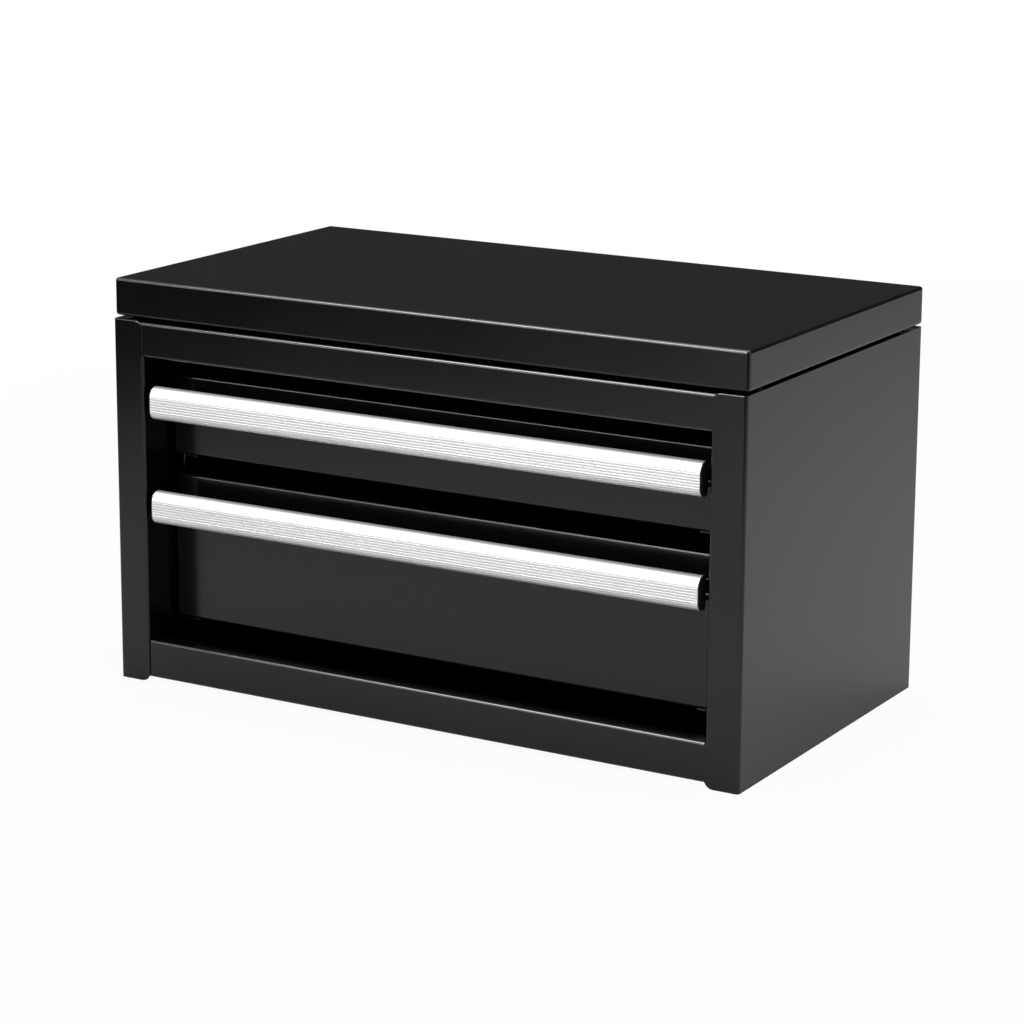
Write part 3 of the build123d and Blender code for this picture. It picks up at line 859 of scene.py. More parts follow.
# ------------------------------------------------------------------------------ fasteners
@dataclass(frozen=True)
class Rivets:
    """Row or field of blind rivets that share one node.

    Attributes:
        node: CAD node that they stand for.
        count: rivets along the node's row.
        outward: direction of the heads.
        row: axis of the row.
        rows: rivets across the row.
        across: axis across the row.
        head_radius: radius of a head.
        head: height of a head.
        hole_radius: radius of the hole that the mandrel leaves.
        shank_radius: radius of a shank.
        tail_radius: radius of the tail behind the sheets.
        tail: height of that tail.
        crown: share of the head's height that is rounded.
    """

    node: str
    count: int
    outward: Vector
    row: Axis
    rows: int = 1
    across: Axis = Axis.Z
    head_radius: float = 3.2 * MM
    head: float = 1.2 * MM
    hole_radius: float = 0.8 * MM
    shank_radius: float = 1.6 * MM
    tail_radius: float = 2.4 * MM
    tail: float = 0.9 * MM
    crown: float = 0.8

    def pattern(self, length: float) -> bpy.types.Object:
        """One rivet with its head's seat at the origin, its head up, and its tail below.

        Args:
            length: how far the shank reaches below the head.

        Returns:
            The rivet.
        """
        rounding, foot = self.head * self.crown, Vector((0, 0, -length))
        head = add_rod("rivet_head", Vector((0, 0, 0)), Vector((0, 0, self.head)), self.head_radius)
        with Bench(head) as bench:
            bench.round_edges(rounding, RIM_STEPS, on_plane(Axis.Z, self.head))
            bench.pick(Domain.FACES, on_plane(Axis.Z, self.head))
            bpy.ops.mesh.inset(thickness=self.head_radius - rounding - self.hole_radius)
            bench.extrude(Vector((0, 0, -self.head / 2)))
        shank = add_rod("rivet_shank", foot, Vector(), self.shank_radius, 12)
        tail = add_rod("rivet_tail", foot, Vector((0, 0, -length + self.tail)), self.tail_radius, 16)
        return join("rivet", [head, shank, tail])

    def build(self) -> bpy.types.Object:
        """Copy the rivet to every seat and join the copies.

        Returns:
            The piece that stands for the node.
        """
        span = Span.of(self.node)
        axis = max(range(3), key=lambda i: abs(self.outward[i]))
        length = span.size[axis] - self.head
        seat = (span.high if self.outward[axis] > 0 else span.low)[axis]
        seat -= self.head * math.copysign(1, self.outward[axis])
        pattern = self.pattern(length)
        turn = self.outward.to_track_quat("Z", "Y").to_matrix().to_4x4()
        made = []
        for along_row in self.places(span, self.row, self.count):
            for across_row in self.places(span, self.across, self.rows):
                place = Vector()
                place[self.row.value], place[self.across.value], place[axis] = along_row, across_row, seat
                made.append(copy_to(pattern, Matrix.Translation(place) @ turn))
        discard(pattern)
        piece = join(f"{self.node}_finished", made)
        smooth(piece, 40)
        return stand_for(piece, self.node, RIVET_STEEL)

    def places(self, span: Span, axis: Axis, count: int) -> list[float]:
        """Middles of the rivets along one axis of the node's box.

        Args:
            span: the node's box.
            axis: axis to spread them along.
            count: how many there are.

        Returns:
            Their places along the axis.
        """
        if count == 1:
            return [span.middle[axis.value]]
        reach = self.head_radius
        return spread(count, span.low[axis.value] + reach, span.high[axis.value] - reach)


# ------------------------------------------------------------------------------ cabinet
@dataclass
class Cabinet:
    """Folded shell of the chest: sides with stiles, rails, back, floors and posts.

    Attributes:
        stile_width: width of a stile seen from the front.
        stile_return: depth of the wall folded back behind a stile.
        stile_corner: radius of the stiles' inner corners at head and foot.
        stile_rim: rounding of the stiles' front edge round the head.
        side_flange: width of the flanges at the sides' head and foot.
        corner_relief: how far those flanges stop short of front and back.
        rear_flange: width of the flange at the sides' back edge.
        rail_flange: depth of the rails' inner flanges.
        back_flange: depth of the rails' outer flanges.
        slit: gap between the return wall's ends and the rails.
        pan_corner: radius of the floor pans' corners.
        bumper_radius: radius of a rubber button.
        stem_radius: radius of its stem.
    """

    stile_width: float = 31.0 * MM
    stile_return: float = 38.0 * MM
    stile_corner: float = 8.0 * MM
    stile_rim: float = 0.9 * MM
    side_flange: float = 12.0 * MM
    corner_relief: float = 5.0 * MM
    rear_flange: float = 15.0 * MM
    rail_flange: float = 15.0 * MM
    back_flange: float = 12.0 * MM
    slit: float = 0.1 * MM
    pan_corner: float = 4.0 * MM
    bumper_radius: float = 4.0 * MM
    stem_radius: float = 2.0 * MM

    def build(self) -> None:
        """Make every piece of the cabinet."""
        for side, hand in SIDES.items():
            self.side_panel(side, hand)
        self.rail("top_rail", opening_at_foot=True)
        self.rail("base_rail", opening_at_foot=False)
        self.back_panel()
        for node in ("bottom_panel", "till_floor"):
            span = Span.of(node)
            tray = Tray(f"{node}_finished", span, Axis.Z, True, self.pan_corner, BEND)
            stand_for(tray.build(), node, POWDER_COAT)
        RibbedMat("till_liner").build()
        for side in SIDES:
            for place in ("front", "rear"):
                keep_node(f"slide_post_{place}_{side}", POWDER_COAT)
        keep_node("post_rivets", RIVET_STEEL)
        Rivets("back_rivets", 2, Vector((0, 1, 0)), Axis.X, rows=4).build()
        self.bumpers()

    def side_panel(self, side: str, hand: int) -> None:
        """Side sheet, wrapped round the front corner as a stile with a wall folded back behind it.

        Args:
            side: left or right.
            hand: -1 on the left and 1 on the right.
        """
        node = f"side_panel_{side}"
        span = Span.of(node)
        outer = span.high.x if hand > 0 else span.low.x
        edge = outer - hand * self.stile_width
        front, back, height = span.low.y, span.high.y, span.high.z
        rail_bottom, rail_top = Span.of("top_rail").low.z, Span.of("base_rail").high.z
        sheet = FoldedSheet(
            f"{node}_finished",
            [Vector((edge, front + self.stile_return, 0)), Vector((edge, front, 0)),
             Vector((outer, front, 0)), Vector((outer, back, 0)),
             Vector((outer - hand * self.rear_flange, back, 0))],
            Vector((0, 0, height)),
            Vector((outer, front + self.stile_return, 0)),
        )
        piece = sheet.lay_out()
        with Bench(piece) as bench:
            for level in (rail_top, rail_top + self.slit, rail_bottom - self.slit, rail_bottom):
                bench.split_at(Axis.Z, level)
            for level in (front + self.corner_relief, back - self.corner_relief):
                bench.split_at(Axis.Y, level)
            return_wall = on_plane(Axis.X, edge)
            bench.remove_faces(return_wall, lambda f: f.calc_center_median().z < rail_top + self.slit)
            bench.remove_faces(return_wall, lambda f: f.calc_center_median().z > rail_bottom - self.slit)
            bench.round_points(
                self.stile_corner, BEND_STEPS,
                lambda v: abs(v.co.x - edge) < TOUCH and min(v.co.z, height - v.co.z) < TOUCH,
            )
        sheet.fold(piece)
        with Bench(piece) as bench:
            nearest, farthest = front + self.corner_relief / 2, back - SHEET
            for level in (0, height):
                if bench.pick(
                    Domain.EDGES, on_plane(Axis.Z, level), on_plane(Axis.X, outer),
                    lambda e: all(nearest < v.co.y < farthest for v in e.verts),
                ):
                    bench.extrude(Vector((-hand * self.side_flange, 0, 0)))
        sheet.thicken(piece)
        with Bench(piece) as bench:
            bench.round_edges(
                self.stile_rim, RIM_STEPS, on_plane(Axis.Y, front), lambda e: e.calc_face_angle(0) > 1,
                lambda e: e.verts[0].co.z > rail_bottom,
            )
        soften(piece)
        stand_for(piece, node, POWDER_COAT)

    def rail(self, node: str, opening_at_foot: bool) -> None:
        """Channel across the front, its deeper flange on the side of the drawer opening.

        Args:
            node: CAD node that it stands for.
            opening_at_foot: True for the rail above the opening.
        """
        span = Span.of(node)
        start, top, foot = span.low.x, span.high.z, span.low.z
        deep, shallow = span.low.y + self.rail_flange, span.low.y + self.back_flange
        path = [
            Vector((start, shallow if opening_at_foot else deep, top)), Vector((start, span.low.y, top)),
            Vector((start, span.low.y, foot)), Vector((start, deep if opening_at_foot else shallow, foot)),
        ]
        sheet = FoldedSheet(f"{node}_finished", path, Vector((span.size.x, 0, 0)), span.middle)
        stand_for(sheet.build(), node, POWDER_COAT)

    def back_panel(self) -> None:
        """Flat back with a flange at head and foot."""
        span = Span.of("back_panel")
        start, top, foot = span.low.x, span.high.z, span.low.z
        inner = span.high.y - self.back_flange
        path = [Vector((start, inner, top)), Vector((start, span.high.y, top)),
                Vector((start, span.high.y, foot)), Vector((start, inner, foot))]
        sheet = FoldedSheet("back_panel_finished", path, Vector((span.size.x, 0, 0)), span.middle)
        stand_for(sheet.build(), "back_panel", POWDER_COAT)

    def bumpers(self) -> None:
        """Four domed rubber buttons on the cabinet's head flanges."""
        span, radius = Span.of("lid_bumpers"), self.bumper_radius
        seat = Span.of("side_panel_left").high.z
        made = []
        for x in (span.low.x + radius, span.high.x - radius):
            for y in (span.low.y + radius, span.high.y - radius):
                button = add_rod("button", Vector((x, y, seat)), Vector((x, y, span.high.z)), radius)
                with Bench(button) as bench:
                    bench.round_edges(span.high.z - seat - CUT_EDGE, 5, on_plane(Axis.Z, span.high.z))
                foot = Vector((x, y, span.low.z))
                stem = add_rod("stem", foot, Vector((x, y, seat)), self.stem_radius, 12)
                made += [button, stem]
        piece = join("lid_bumpers_finished", made)
        smooth(piece)
        stand_for(piece, "lid_bumpers", BUMPER_RUBBER)


@dataclass
class RibbedMat:
    """Thin rubber mat with fine ribs that run across the drawer.

    Attributes:
        node: CAD node that it stands for.
        pitch: distance between ribs.
        rib_width: width of a rib at its foot.
        rib_height: height of a rib.
        rib_crown: width of a rib's top as a share of its foot.
        margin: bare rim round the ribs.
        corner: radius of the mat's corners.
    """

    node: str
    pitch: float = 3.2 * MM
    rib_width: float = 1.6 * MM
    rib_height: float = 0.55 * MM
    rib_crown: float = 0.45
    margin: float = 2.0 * MM
    corner: float = 2.0 * MM

    def build(self) -> bpy.types.Object:
        """Make the sheet and its ribs.

        Returns:
            The piece that stands for the node.
        """
        span = Span.of(self.node)
        floor = span.high.z - self.rib_height
        sheet = add_block("sheet", span.low, Vector((span.high.x, span.high.y, floor)))
        with Bench(sheet) as bench:
            bench.round_edges(self.corner, RIM_STEPS, along(Axis.Z))
        count = int((span.size.y - 2 * self.margin) / self.pitch)
        start = span.middle.y - (count - 1) * self.pitch / 2
        rib = add_block(
            "rib", Vector((span.low.x + self.margin, start - self.rib_width / 2, floor)),
            Vector((span.high.x - self.margin, start + self.rib_width / 2, span.high.z)),
        )
        with Bench(rib) as bench:
            bench.pick(Domain.FACES, on_plane(Axis.Z, span.high.z))
            bench.resize(Vector((1, self.rib_crown, 1)), Vector((0, start, span.high.z)))
        apply_modifier(
            rib, "ARRAY", count=count, use_relative_offset=False, use_constant_offset=True,
            constant_offset_displace=(0, self.pitch, 0),
        )
        piece = join(f"{self.node}_finished", [sheet, rib])
        smooth(piece, 30)
        return stand_for(piece, self.node, LINER_MAT)


# ------------------------------------------------------------------------------ lid and hinge
@dataclass
class Lid:
    """Rear-hinged lid: a folded tray turned over, with a hat stiffener under its top.

    Attributes:
        corner: radius of the four upright corners.
        top_bend: radius of the bend round the top.
        bottom_bend: radius of the bend round the foot.
        lip: width of the flange turned in round the foot.
        brim: width of the stiffener's flat brims.
        slope: width of its sloping walls.
        stiffener_bend: radius of its folds.
    """

    corner: float = 3.0 * MM
    top_bend: float = 2.75 * MM
    bottom_bend: float = 2.4 * MM
    lip: float = 10.0 * MM
    brim: float = 10.0 * MM
    slope: float = 5.0 * MM
    stiffener_bend: float = 2.0 * MM

    def build(self) -> None:
        """Make the lid and what is fixed to it."""
        tray = Tray(
            "lid_shell_finished", Span.of("lid_shell"), Axis.Z, False, self.corner, self.top_bend,
            self.lip, self.bottom_bend,
        )
        stand_for(tray.build(), "lid_shell", POWDER_COAT)
        self.stiffener()
        Rivets("hinge_rivets_lid", 8, Vector((0, 1, 0)), Axis.X).build()

    def stiffener(self) -> None:
        """Hat section along the lid, under its top."""
        span = Span.of("lid_stiffener")
        start, top, foot = span.low.x, span.high.z, span.low.z
        ys = (span.low.y, span.low.y + self.brim, span.low.y + self.brim + self.slope)
        ys += tuple(span.low.y + span.high.y - y for y in reversed(ys))
        zs = (top, top, foot, foot, top, top)
        sheet = FoldedSheet(
            "lid_stiffener_finished", [Vector((start, y, z)) for y, z in zip(ys, zs)],
            Vector((span.size.x, 0, 0)), Vector((start, span.low.y, foot)), radius=self.stiffener_bend,
        )
        stand_for(sheet.build(), "lid_stiffener", POWDER_COAT)


@dataclass
class Hinge:
    """Continuous hinge along the back: two leaves and a pin.

    Attributes:
        leaf_edge: width of the leaves' softened edges.
    """

    leaf_edge: float = 0.12 * MM

    def build(self) -> None:
        """Make the leaves, the pin and the cabinet's rivets."""
        for leaf in ("hinge_leaf_cabinet", "hinge_leaf_lid"):
            cast_node(leaf, POWDER_COAT, self.leaf_edge)
        span = Span.of("hinge_pin")
        radius = span.size.z / 2
        ends = [Vector((x, span.middle.y, span.middle.z)) for x in (span.low.x, span.high.x)]
        pin = add_rod("hinge_pin_finished", *ends, radius)
        with Bench(pin) as bench:
            for end in ends:
                bench.round_edges(radius / 3, 3, on_plane(Axis.X, end.x))
        smooth(pin)
        stand_for(pin, "hinge_pin", PIN_STEEL)
        Rivets("hinge_rivets_cabinet", 8, Vector((0, 1, 0)), Axis.X).build()


# ------------------------------------------------------------------------------ drawers
class Member(Enum):
    """Member of a telescopic slide."""

    CABINET = "slide_cabinet_member"
    MIDDLE = "slide_middle_member"
    DRAWER = "slide_drawer_member"


@dataclass
class Slide:
    """Telescopic slide on one side of a drawer: three channels, one inside another.

    Attributes:
        drawer: which drawer it carries.
        side: left or right.
        sheet: thickness of the channels.
        bend: outer radius of their folds.
    """

    drawer: str
    side: str
    sheet: float = 1.2 * MM
    bend: float = 1.8 * MM

    def build(self) -> None:
        """Make the three channels."""
        for member in Member:
            self.channel(member)

    def channel(self, member: Member) -> None:
        """One channel, its web on the cabinet's side or on the drawer's.

        Args:
            member: which of the three it is.
        """
        node = f"{self.drawer}_{member.value}_{self.side}"
        span, hand = Span.of(node), SIDES[self.side]
        outer_web = member is not Member.DRAWER
        web_is_high = (hand > 0) == outer_web
        web = span.high.x if web_is_high else span.low.x
        lip = span.low.x if web_is_high else span.high.x
        start, top, foot = span.low.y, span.high.z, span.low.z
        path = [Vector((lip, start, top)), Vector((web, start, top)),
                Vector((web, start, foot)), Vector((lip, start, foot))]
        sheet = FoldedSheet(
            f"{node}_finished", path, Vector((0, span.size.y, 0)), span.middle, self.sheet, self.bend
        )
        stand_for(sheet.build(), node, ZINC_SLIDE)


@dataclass
class Pull:
    """Full-width pull: fluted aluminium extrusion with a bowed front and a black cap at each end.

    Attributes:
        drawer: which drawer it opens.
        top_radius: radius of the front's upper rounding.
        bottom_radius: radius of the front's lower rounding.
        back_radius: radius of the back's roundings.
        flutes: number of flutes.
        pitch: distance between flutes.
        flute_radius: radius of a flute's round bottom.
        flute_depth: depth of a flute.
        slot_width: width of the slot that takes the bracket.
        hook_wall: thickness of the wall behind that slot.
        slot_rise: height of the slot's top above the pull's middle.
        hook_drop: depth of the hook's foot below the pull's middle.
        overrun: how far the cutters reach past the pull.
        edge: width of the softened edges.
        cap_edge: radius of a cap's outer rim.
    """

    drawer: str
    top_radius: float = 9.0 * MM
    bottom_radius: float = 8.0 * MM
    back_radius: float = 3.0 * MM
    flutes: int = 10
    pitch: float = 2.3 * MM
    flute_radius: float = 1.1 * MM
    flute_depth: float = 0.17 * MM
    slot_width: float = 1.3 * MM
    hook_wall: float = 1.6 * MM
    slot_rise: float = 5.05 * MM
    hook_drop: float = 7.0 * MM
    overrun: float = 5.0 * MM
    edge: float = 0.12 * MM
    cap_edge: float = 0.75 * MM

    def blank(self, name: str, low_x: float, high_x: float) -> bpy.types.Object:
        """Length of the pull's outer section, without flutes.

        Args:
            name: name of the piece.
            low_x: its left end.
            high_x: its right end.

        Returns:
            The piece.
        """
        span = Span.of(f"{self.drawer}_pull")
        low = Vector((low_x, span.low.y, span.low.z))
        high = Vector((high_x, span.high.y, span.high.z))
        piece = add_block(name, low, high)
        corners = (
            (low.y, high.z, self.top_radius, 12), (low.y, low.z, self.bottom_radius, 12),
            (high.y, high.z, self.back_radius, 5), (high.y, low.z, self.back_radius, 5),
        )
        with Bench(piece) as bench:
            for y, z, radius, steps in corners:
                bench.round_edges(radius, steps, on_plane(Axis.Y, y), on_plane(Axis.Z, z))
        return piece

    def bow(self, height: float, half: float) -> float:
        """Depth of the bowed front at a height above the pull's middle.

        Args:
            height: height above the middle.
            half: half the pull's height.

        Returns:
            How far the front lies behind its foremost line there.
        """
        for reach, radius in ((height, self.top_radius), (-height, self.bottom_radius)):
            beyond = reach - (half - radius)
            if beyond > 0:
                return radius - math.sqrt(radius**2 - beyond**2)
        return 0.0

    def extrusion(self) -> None:
        """Fluted length between the caps, slotted from below for the bracket."""
        node = f"{self.drawer}_pull"
        span = Span.of(node)
        piece = self.blank(f"{node}_finished", span.low.x, span.high.x)
        reach, middle, half = self.overrun, span.middle.z, span.size.z / 2
        run = (self.flutes - 1) * self.pitch / 2
        cutters = []
        for height in spread(self.flutes, -run, run):
            y = span.low.y + self.bow(height, half) - self.flute_radius + self.flute_depth
            ends = [Vector((x, y, middle + height)) for x in (span.low.x - reach, span.high.x + reach)]
            cutters.append(add_rod("flute", *ends, self.flute_radius, 20))
        slot_back = span.high.y - self.hook_wall
        cutters.append(add_block(
            "slot", Vector((span.low.x - reach, slot_back - self.slot_width, span.low.z - reach)),
            Vector((span.high.x + reach, slot_back, middle + self.slot_rise)),
        ))
        cutters.append(add_block(
            "hook_foot", Vector((span.low.x - reach, slot_back - self.slot_width / 2, span.low.z - reach)),
            Vector((span.high.x + reach, span.high.y + reach, middle - self.hook_drop)),
        ))
        for cutter in cutters:
            apply_modifier(piece, "BOOLEAN", operation="DIFFERENCE", solver="EXACT", object=cutter)
            discard(cutter)
        apply_modifier(
            piece, "BEVEL", width=self.edge, segments=1, limit_method="ANGLE",
            angle_limit=math.radians(40), use_clamp_overlap=True,
        )
        smooth(piece, 30)
        stand_for(piece, node, PULL_ALUMINIUM)

    def cap(self, side: str) -> None:
        """Plate with the pull's outline and a softened outer rim.

        Args:
            side: left or right.
        """
        node = f"{self.drawer}_pull_cap_{side}"
        cap, body, hand = Span.of(node), Span.of(f"{self.drawer}_pull"), SIDES[side]
        outer = cap.high.x if hand > 0 else cap.low.x
        inner = body.high.x if hand > 0 else body.low.x
        piece = self.blank(f"{node}_finished", min(inner, outer), max(inner, outer))
        with Bench(piece) as bench:
            bench.round_edges(self.cap_edge, RIM_STEPS, on_plane(Axis.X, outer))
        smooth(piece, 40)
        stand_for(piece, node, CAP_PLASTIC)

    def build(self) -> None:
        """Make the extrusion and its caps."""
        self.extrusion()
        for side in SIDES:
            self.cap(side)


@dataclass
class Drawer:
    """One drawer: front, box, pull with its bracket, mat, slides and rivets.

    Attributes:
        name: upper or lower.
        corner: radius of the front's corners.
        rim: radius of the bend round the front's face.
        bracket_sheet: thickness of the pull's bracket.
        bracket_bend: outer radius of the bracket's folds.
        bracket_back: height of the bracket's back flange.
    """

    name: str
    corner: float = 3.0 * MM
    rim: float = 2.5 * MM
    bracket_sheet: float = 1.2 * MM
    bracket_bend: float = 2.0 * MM
    bracket_back: float = 14.0 * MM

    def build(self) -> None:
        """Make every piece of the drawer."""
        node = f"{self.name}_drawer_front"
        tray = Tray(f"{node}_finished", Span.of(node), Axis.Y, True, self.corner, self.rim)
        stand_for(tray.build(), node, POWDER_COAT)
        cast_node(f"{self.name}_drawer_box", POWDER_COAT)
        self.bracket()
        Pull(self.name).build()
        RibbedMat(f"{self.name}_drawer_liner").build()
        for side in SIDES:
            Slide(self.name, side).build()
        Rivets(f"{self.name}_bracket_rivets", 6, Vector((0, -1, 0)), Axis.X).build()
        keep_node(f"{self.name}_slide_rivets", RIVET_STEEL)

    def bracket(self) -> None:
        """Channel that holds the pull in front of the drawer and leaves a trough for the fingers."""
        node = f"{self.name}_pull_bracket"
        span = Span.of(node)
        start, foot = span.low.x, span.low.z
        path = [Vector((start, span.low.y, span.high.z)), Vector((start, span.low.y, foot)),
                Vector((start, span.high.y, foot)), Vector((start, span.high.y, foot + self.bracket_back))]
        sheet = FoldedSheet(
            f"{node}_finished", path, Vector((span.size.x, 0, 0)), span.middle,
            self.bracket_sheet, self.bracket_bend,
        )
        stand_for(sheet.build(), node, POWDER_COAT)


# ------------------------------------------------------------------------------ studio
@dataclass(frozen=True)
class Camera:
    """Camera at the photograph's viewing angle.

    Attributes:
        azimuth: degrees to the right of the chest's front.
        elevation: degrees above the horizon.
        roll: degrees that the camera is turned about its axis.
        aim: point that the lens axis passes through.
        distance: distance from that point.
        focal: focal length in pixels of the photograph.
        axis_row: the photograph's row that the lens axis meets.
        frame: width and height of the photograph in pixels.
        sensor: width of the camera's sensor in millimetres.
    """

    azimuth: float = 30.45323
    elevation: float = 13.13279
    roll: float = 0.30667
    aim: tuple[float, float, float] = (0.0952, -0.1695, 0.25512)
    distance: float = 2.57593
    focal: float = 3192.277
    axis_row: float = 450.0
    frame: float = 1024.0
    sensor: float = 36.0

    def build(self) -> None:
        """Make the camera and look through it."""
        azimuth, elevation, roll = (math.radians(a) for a in (self.azimuth, self.elevation, self.roll))
        back = Vector((math.sin(azimuth) * math.cos(elevation), -math.cos(azimuth) * math.cos(elevation),
                       math.sin(elevation)))
        level = (-back).cross(Vector((0, 0, 1))).normalized()
        upright = level.cross(-back)
        right = math.cos(roll) * level + math.sin(roll) * upright
        up = math.cos(roll) * upright - math.sin(roll) * level
        turn = Matrix((right, up, back)).transposed().to_4x4()
        bpy.ops.object.camera_add()
        camera = bpy.context.object
        camera.name = "photograph_view"
        camera.matrix_world = Matrix.Translation(Vector(self.aim) + back * self.distance) @ turn
        camera.data.sensor_width = self.sensor
        camera.data.lens = self.focal / self.frame * self.sensor
        camera.data.shift_y = (self.axis_row - self.frame / 2) / self.frame
        bpy.context.scene.camera = camera
        log.info("camera: lens %.1f mm", camera.data.lens)


@dataclass(frozen=True)
class Softbox:
    """Rectangular soft lamp.

    Attributes:
        name: name of the lamp.
        place: where its middle is.
        aim: the point that it faces.
        width: its width.
        depth: its other side.
        power: its power in watts.
        lights_matt: False where it shows in reflections alone.
    """

    name: str
    place: tuple[float, float, float]
    aim: tuple[float, float, float]
    width: float
    depth: float
    power: float
    lights_matt: bool = True

    def build(self) -> None:
        """Hang the lamp."""
        bpy.ops.object.light_add(type="AREA", location=self.place)
        lamp = bpy.context.object
        lamp.name = self.name
        lamp.rotation_euler = (Vector(self.aim) - Vector(self.place)).to_track_quat("-Z", "Y").to_euler()
        lamp.data.shape = "RECTANGLE"
        lamp.data.size, lamp.data.size_y = self.width, self.depth
        lamp.data.energy = self.power
        lamp.visible_diffuse = self.lights_matt


@dataclass(frozen=True)
class Studio:
    """White floor and ceiling, dark drapes all round, and lamps.

    Attributes:
        floor_half: half the floor's side.
        pool_centre: middle of the pool of light painted into the floor's glow, which only glossy surfaces
            see.
        pool_inner: distance from there at which that painted light starts to fade.
        pool_outer: distance at which it is gone.
        seen_shade: share of its own light and shade that the floor shows to the camera.
        mirrored_shade: share of its own light and shade that the floor shows to glossy surfaces.
        ceiling_glow: soft light of the surroundings on matt surfaces.
        drape_radius: distance of the drapes.
        drape_height: height of the drapes.
        drape_shade: grey of the drapes.
        card_place: middle of the black card that the upright corners mirror.
        card_turn: degrees that the card is turned to face the chest's right front corner.
        card_size: width and height of the card.
        card_shade: grey of the card.
        floor_grey: grey of the floor under the lamps.
    """

    floor_half: float = 12.0
    pool_centre: tuple[float, float, float] = (1.2, 0.2, 0.0)
    pool_inner: float = 1.8
    pool_outer: float = 2.85
    seen_shade: float = 0.05
    mirrored_shade: float = 0.80
    ceiling_glow: float = 0.32
    drape_radius: float = 4.2
    drape_height: float = 3.4
    drape_shade: float = 0.10
    card_place: tuple[float, float, float] = (0.85, -1.05, 0.45)
    card_turn: float = 30.0
    card_size: tuple[float, float] = (1.3, 0.9)
    card_shade: float = 0.01
    floor_grey: float = 0.9

    def pool(self, wiring: Wiring) -> bpy.types.NodeSocket:
        """Mask of the pool of light painted into the floor's glow for reflections: 1 in the middle, 0 far
        away.

        Args:
            wiring: wiring of the floor's material.

        Returns:
            The mask's output.
        """
        place = wiring.add("ShaderNodeTexCoord").outputs["Object"]
        distance = wiring.add("ShaderNodeVectorMath", operation="DISTANCE")
        distance.inputs[1].default_value = self.pool_centre
        wiring.link(place, distance.inputs[0])
        fade = wiring.add("ShaderNodeMapRange", interpolation_type="SMOOTHSTEP")
        wiring.link(distance.outputs["Value"], fade.inputs["Value"])
        for label, value in (("From Min", self.pool_inner), ("From Max", self.pool_outer),
                             ("To Min", 1.0), ("To Max", 0.0)):
            fade.inputs[label].default_value = value
        return fade.outputs["Result"]

    def floor(self) -> None:
        """Plain pale floor that keeps a soft shadow; in reflections its glow is a painted pool of light
        that fades to dark far away.
        """
        bpy.ops.mesh.primitive_plane_add(size=2 * self.floor_half)
        floor = settle(bpy.context.object, "floor")
        with Bench(floor):
            bpy.ops.mesh.select_all(action="SELECT")
            bpy.ops.mesh.subdivide(number_cuts=3)
        made = bpy.data.materials.new("pale_floor")
        made.use_nodes = True
        wiring = Wiring(made.node_tree)
        made.node_tree.nodes.remove(made.node_tree.nodes["Principled BSDF"])
        matt = wiring.add("ShaderNodeBsdfDiffuse")
        matt.inputs["Color"].default_value = (self.floor_grey, self.floor_grey, self.floor_grey, 1)
        glow = wiring.add("ShaderNodeEmission")
        rays = wiring.add("ShaderNodeLightPath").outputs
        pool = self.pool(wiring)
        camera, glass, gloss = (rays[f"Is {kind} Ray"] for kind in ("Camera", "Transmission", "Glossy"))
        # painted light: glossy surfaces see the floor's glow only inside the pool mask
        mirrored = wiring.combine("MULTIPLY", gloss, pool)
        wiring.link(wiring.combine("MAXIMUM", camera, glass, mirrored), glow.inputs["Strength"])
        shade = wiring.combine(
            "MULTIPLY", wiring.blend(gloss, self.seen_shade, self.mirrored_shade), pool
        )
        seen = wiring.combine("MAXIMUM", camera, glass, gloss)
        clear = wiring.add("ShaderNodeMath", operation="SUBTRACT")
        clear.inputs[0].default_value = 1.0
        wiring.link(shade, clear.inputs[1])
        mix = wiring.add("ShaderNodeMixShader")
        wiring.link(wiring.combine("MULTIPLY", seen, clear.outputs[0]), mix.inputs[0])
        wiring.link(matt.outputs[0], mix.inputs[1])
        wiring.link(glow.outputs[0], mix.inputs[2])
        wiring.link(mix.outputs[0], made.node_tree.nodes["Material Output"].inputs["Surface"])
        floor.data.materials.append(made)

    def screen(self, name: str, shade: float) -> None:
        """Paint the active object a dark matt grey that only reflections show.

        Args:
            name: name of the object and its material.
            shade: its grey, linear.
        """
        piece = settle(bpy.context.object, name)
        made = bpy.data.materials.new(f"{name}_cloth")
        made.use_nodes = True
        shader = made.node_tree.nodes["Principled BSDF"]
        shader.inputs["Base Color"].default_value = (shade, shade, shade, 1)
        shader.inputs["Roughness"].default_value = 1.0
        piece.data.materials.append(made)
        piece.visible_camera = False
        piece.visible_diffuse = False
        piece.visible_transmission = False
        piece.visible_shadow = False

    def drapes(self) -> None:
        """Dark ring round the floor below a white ceiling, and a black card beside the camera."""
        bpy.ops.object.select_all(action="DESELECT")
        bpy.ops.mesh.primitive_cylinder_add(
            vertices=64, radius=self.drape_radius, depth=self.drape_height,
            location=(0, 0, self.drape_height / 2), end_fill_type="NOTHING",
        )
        self.screen("drapes", self.drape_shade)
        bpy.ops.object.select_all(action="DESELECT")
        bpy.ops.mesh.primitive_plane_add(
            size=1, location=self.card_place, rotation=(math.pi / 2, 0, math.radians(self.card_turn)),
            scale=(*self.card_size, 1),
        )
        self.screen("black_card", self.card_shade)

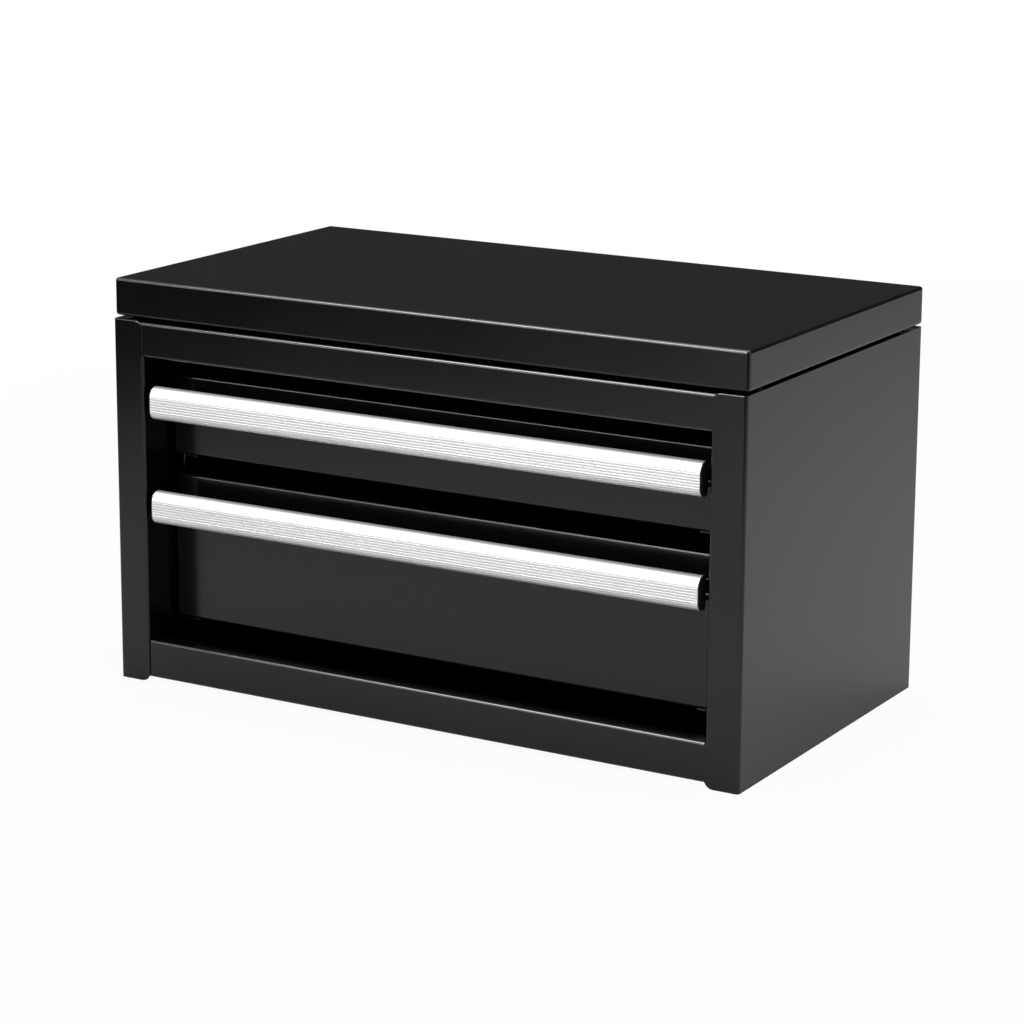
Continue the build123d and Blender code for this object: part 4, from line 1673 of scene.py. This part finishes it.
    def world(self) -> None:
        """White to the camera and in reflections, and a soft fill for matt surfaces."""
        world = bpy.data.worlds.new("studio")
        bpy.context.scene.world = world
        world.use_nodes = True
        wiring = Wiring(world.node_tree)
        surroundings = world.node_tree.nodes["Background"]
        surroundings.inputs["Color"].default_value = (1, 1, 1, 1)
        surroundings.inputs["Strength"].default_value = self.ceiling_glow
        white = wiring.add("ShaderNodeBackground")
        white.inputs["Color"].default_value = (1, 1, 1, 1)
        rays = wiring.add("ShaderNodeLightPath").outputs
        seen = wiring.combine(
            "MAXIMUM", rays["Is Camera Ray"], rays["Is Glossy Ray"], rays["Is Transmission Ray"]
        )
        mix = wiring.add("ShaderNodeMixShader")
        wiring.link(seen, mix.inputs[0])
        wiring.link(surroundings.outputs[0], mix.inputs[1])
        wiring.link(white.outputs[0], mix.inputs[2])
        wiring.link(mix.outputs[0], world.node_tree.nodes["World Output"].inputs["Surface"])

    def build(self) -> None:
        """Make the floor, the surroundings and the lamps."""
        self.floor()
        self.drapes()
        self.world()
        for lamp in (
            Softbox("top_softbox", (0.1, 0.2, 2.5), (0.0, 0.0, 0.2), 2.4, 1.8, 41.0),
            Softbox("edge_panel", (-0.85, -1.12, 1.95), (0.0, -0.17, 0.3), 1.15, 0.75, 62.0, False),
            Softbox("low_panel", (-1.15, -2.2, 1.0), (0.0, -0.15, 0.27), 1.3, 0.5, 20.0, False),
            Softbox("left_strip", (-0.35, -1.75, 0.7), (0.0, -0.17, 0.2), 0.12, 1.2, 5.0, False),
            Softbox("right_strip", (1.75, 0.35, 0.7), (0.3, 0.0, 0.2), 0.12, 1.2, 5.0, False),
            Softbox("front_softbox", (-0.4, -2.3, 1.9), (0.0, 0.0, 0.2), 1.6, 0.8, 8.0),
        ):
            lamp.build()
        bpy.context.scene.view_settings.view_transform = "Standard"


def main() -> None:
    """Build the camera, the chest and the studio, and report each piece."""
    logging.basicConfig(level=logging.INFO, format="%(name)s %(message)s")
    Camera().build()
    Cabinet().build()
    Lid().build()
    Hinge().build()
    for name in DRAWERS:
        Drawer(name).build()
    Studio().build()


if __name__ == "__main__":
    main()
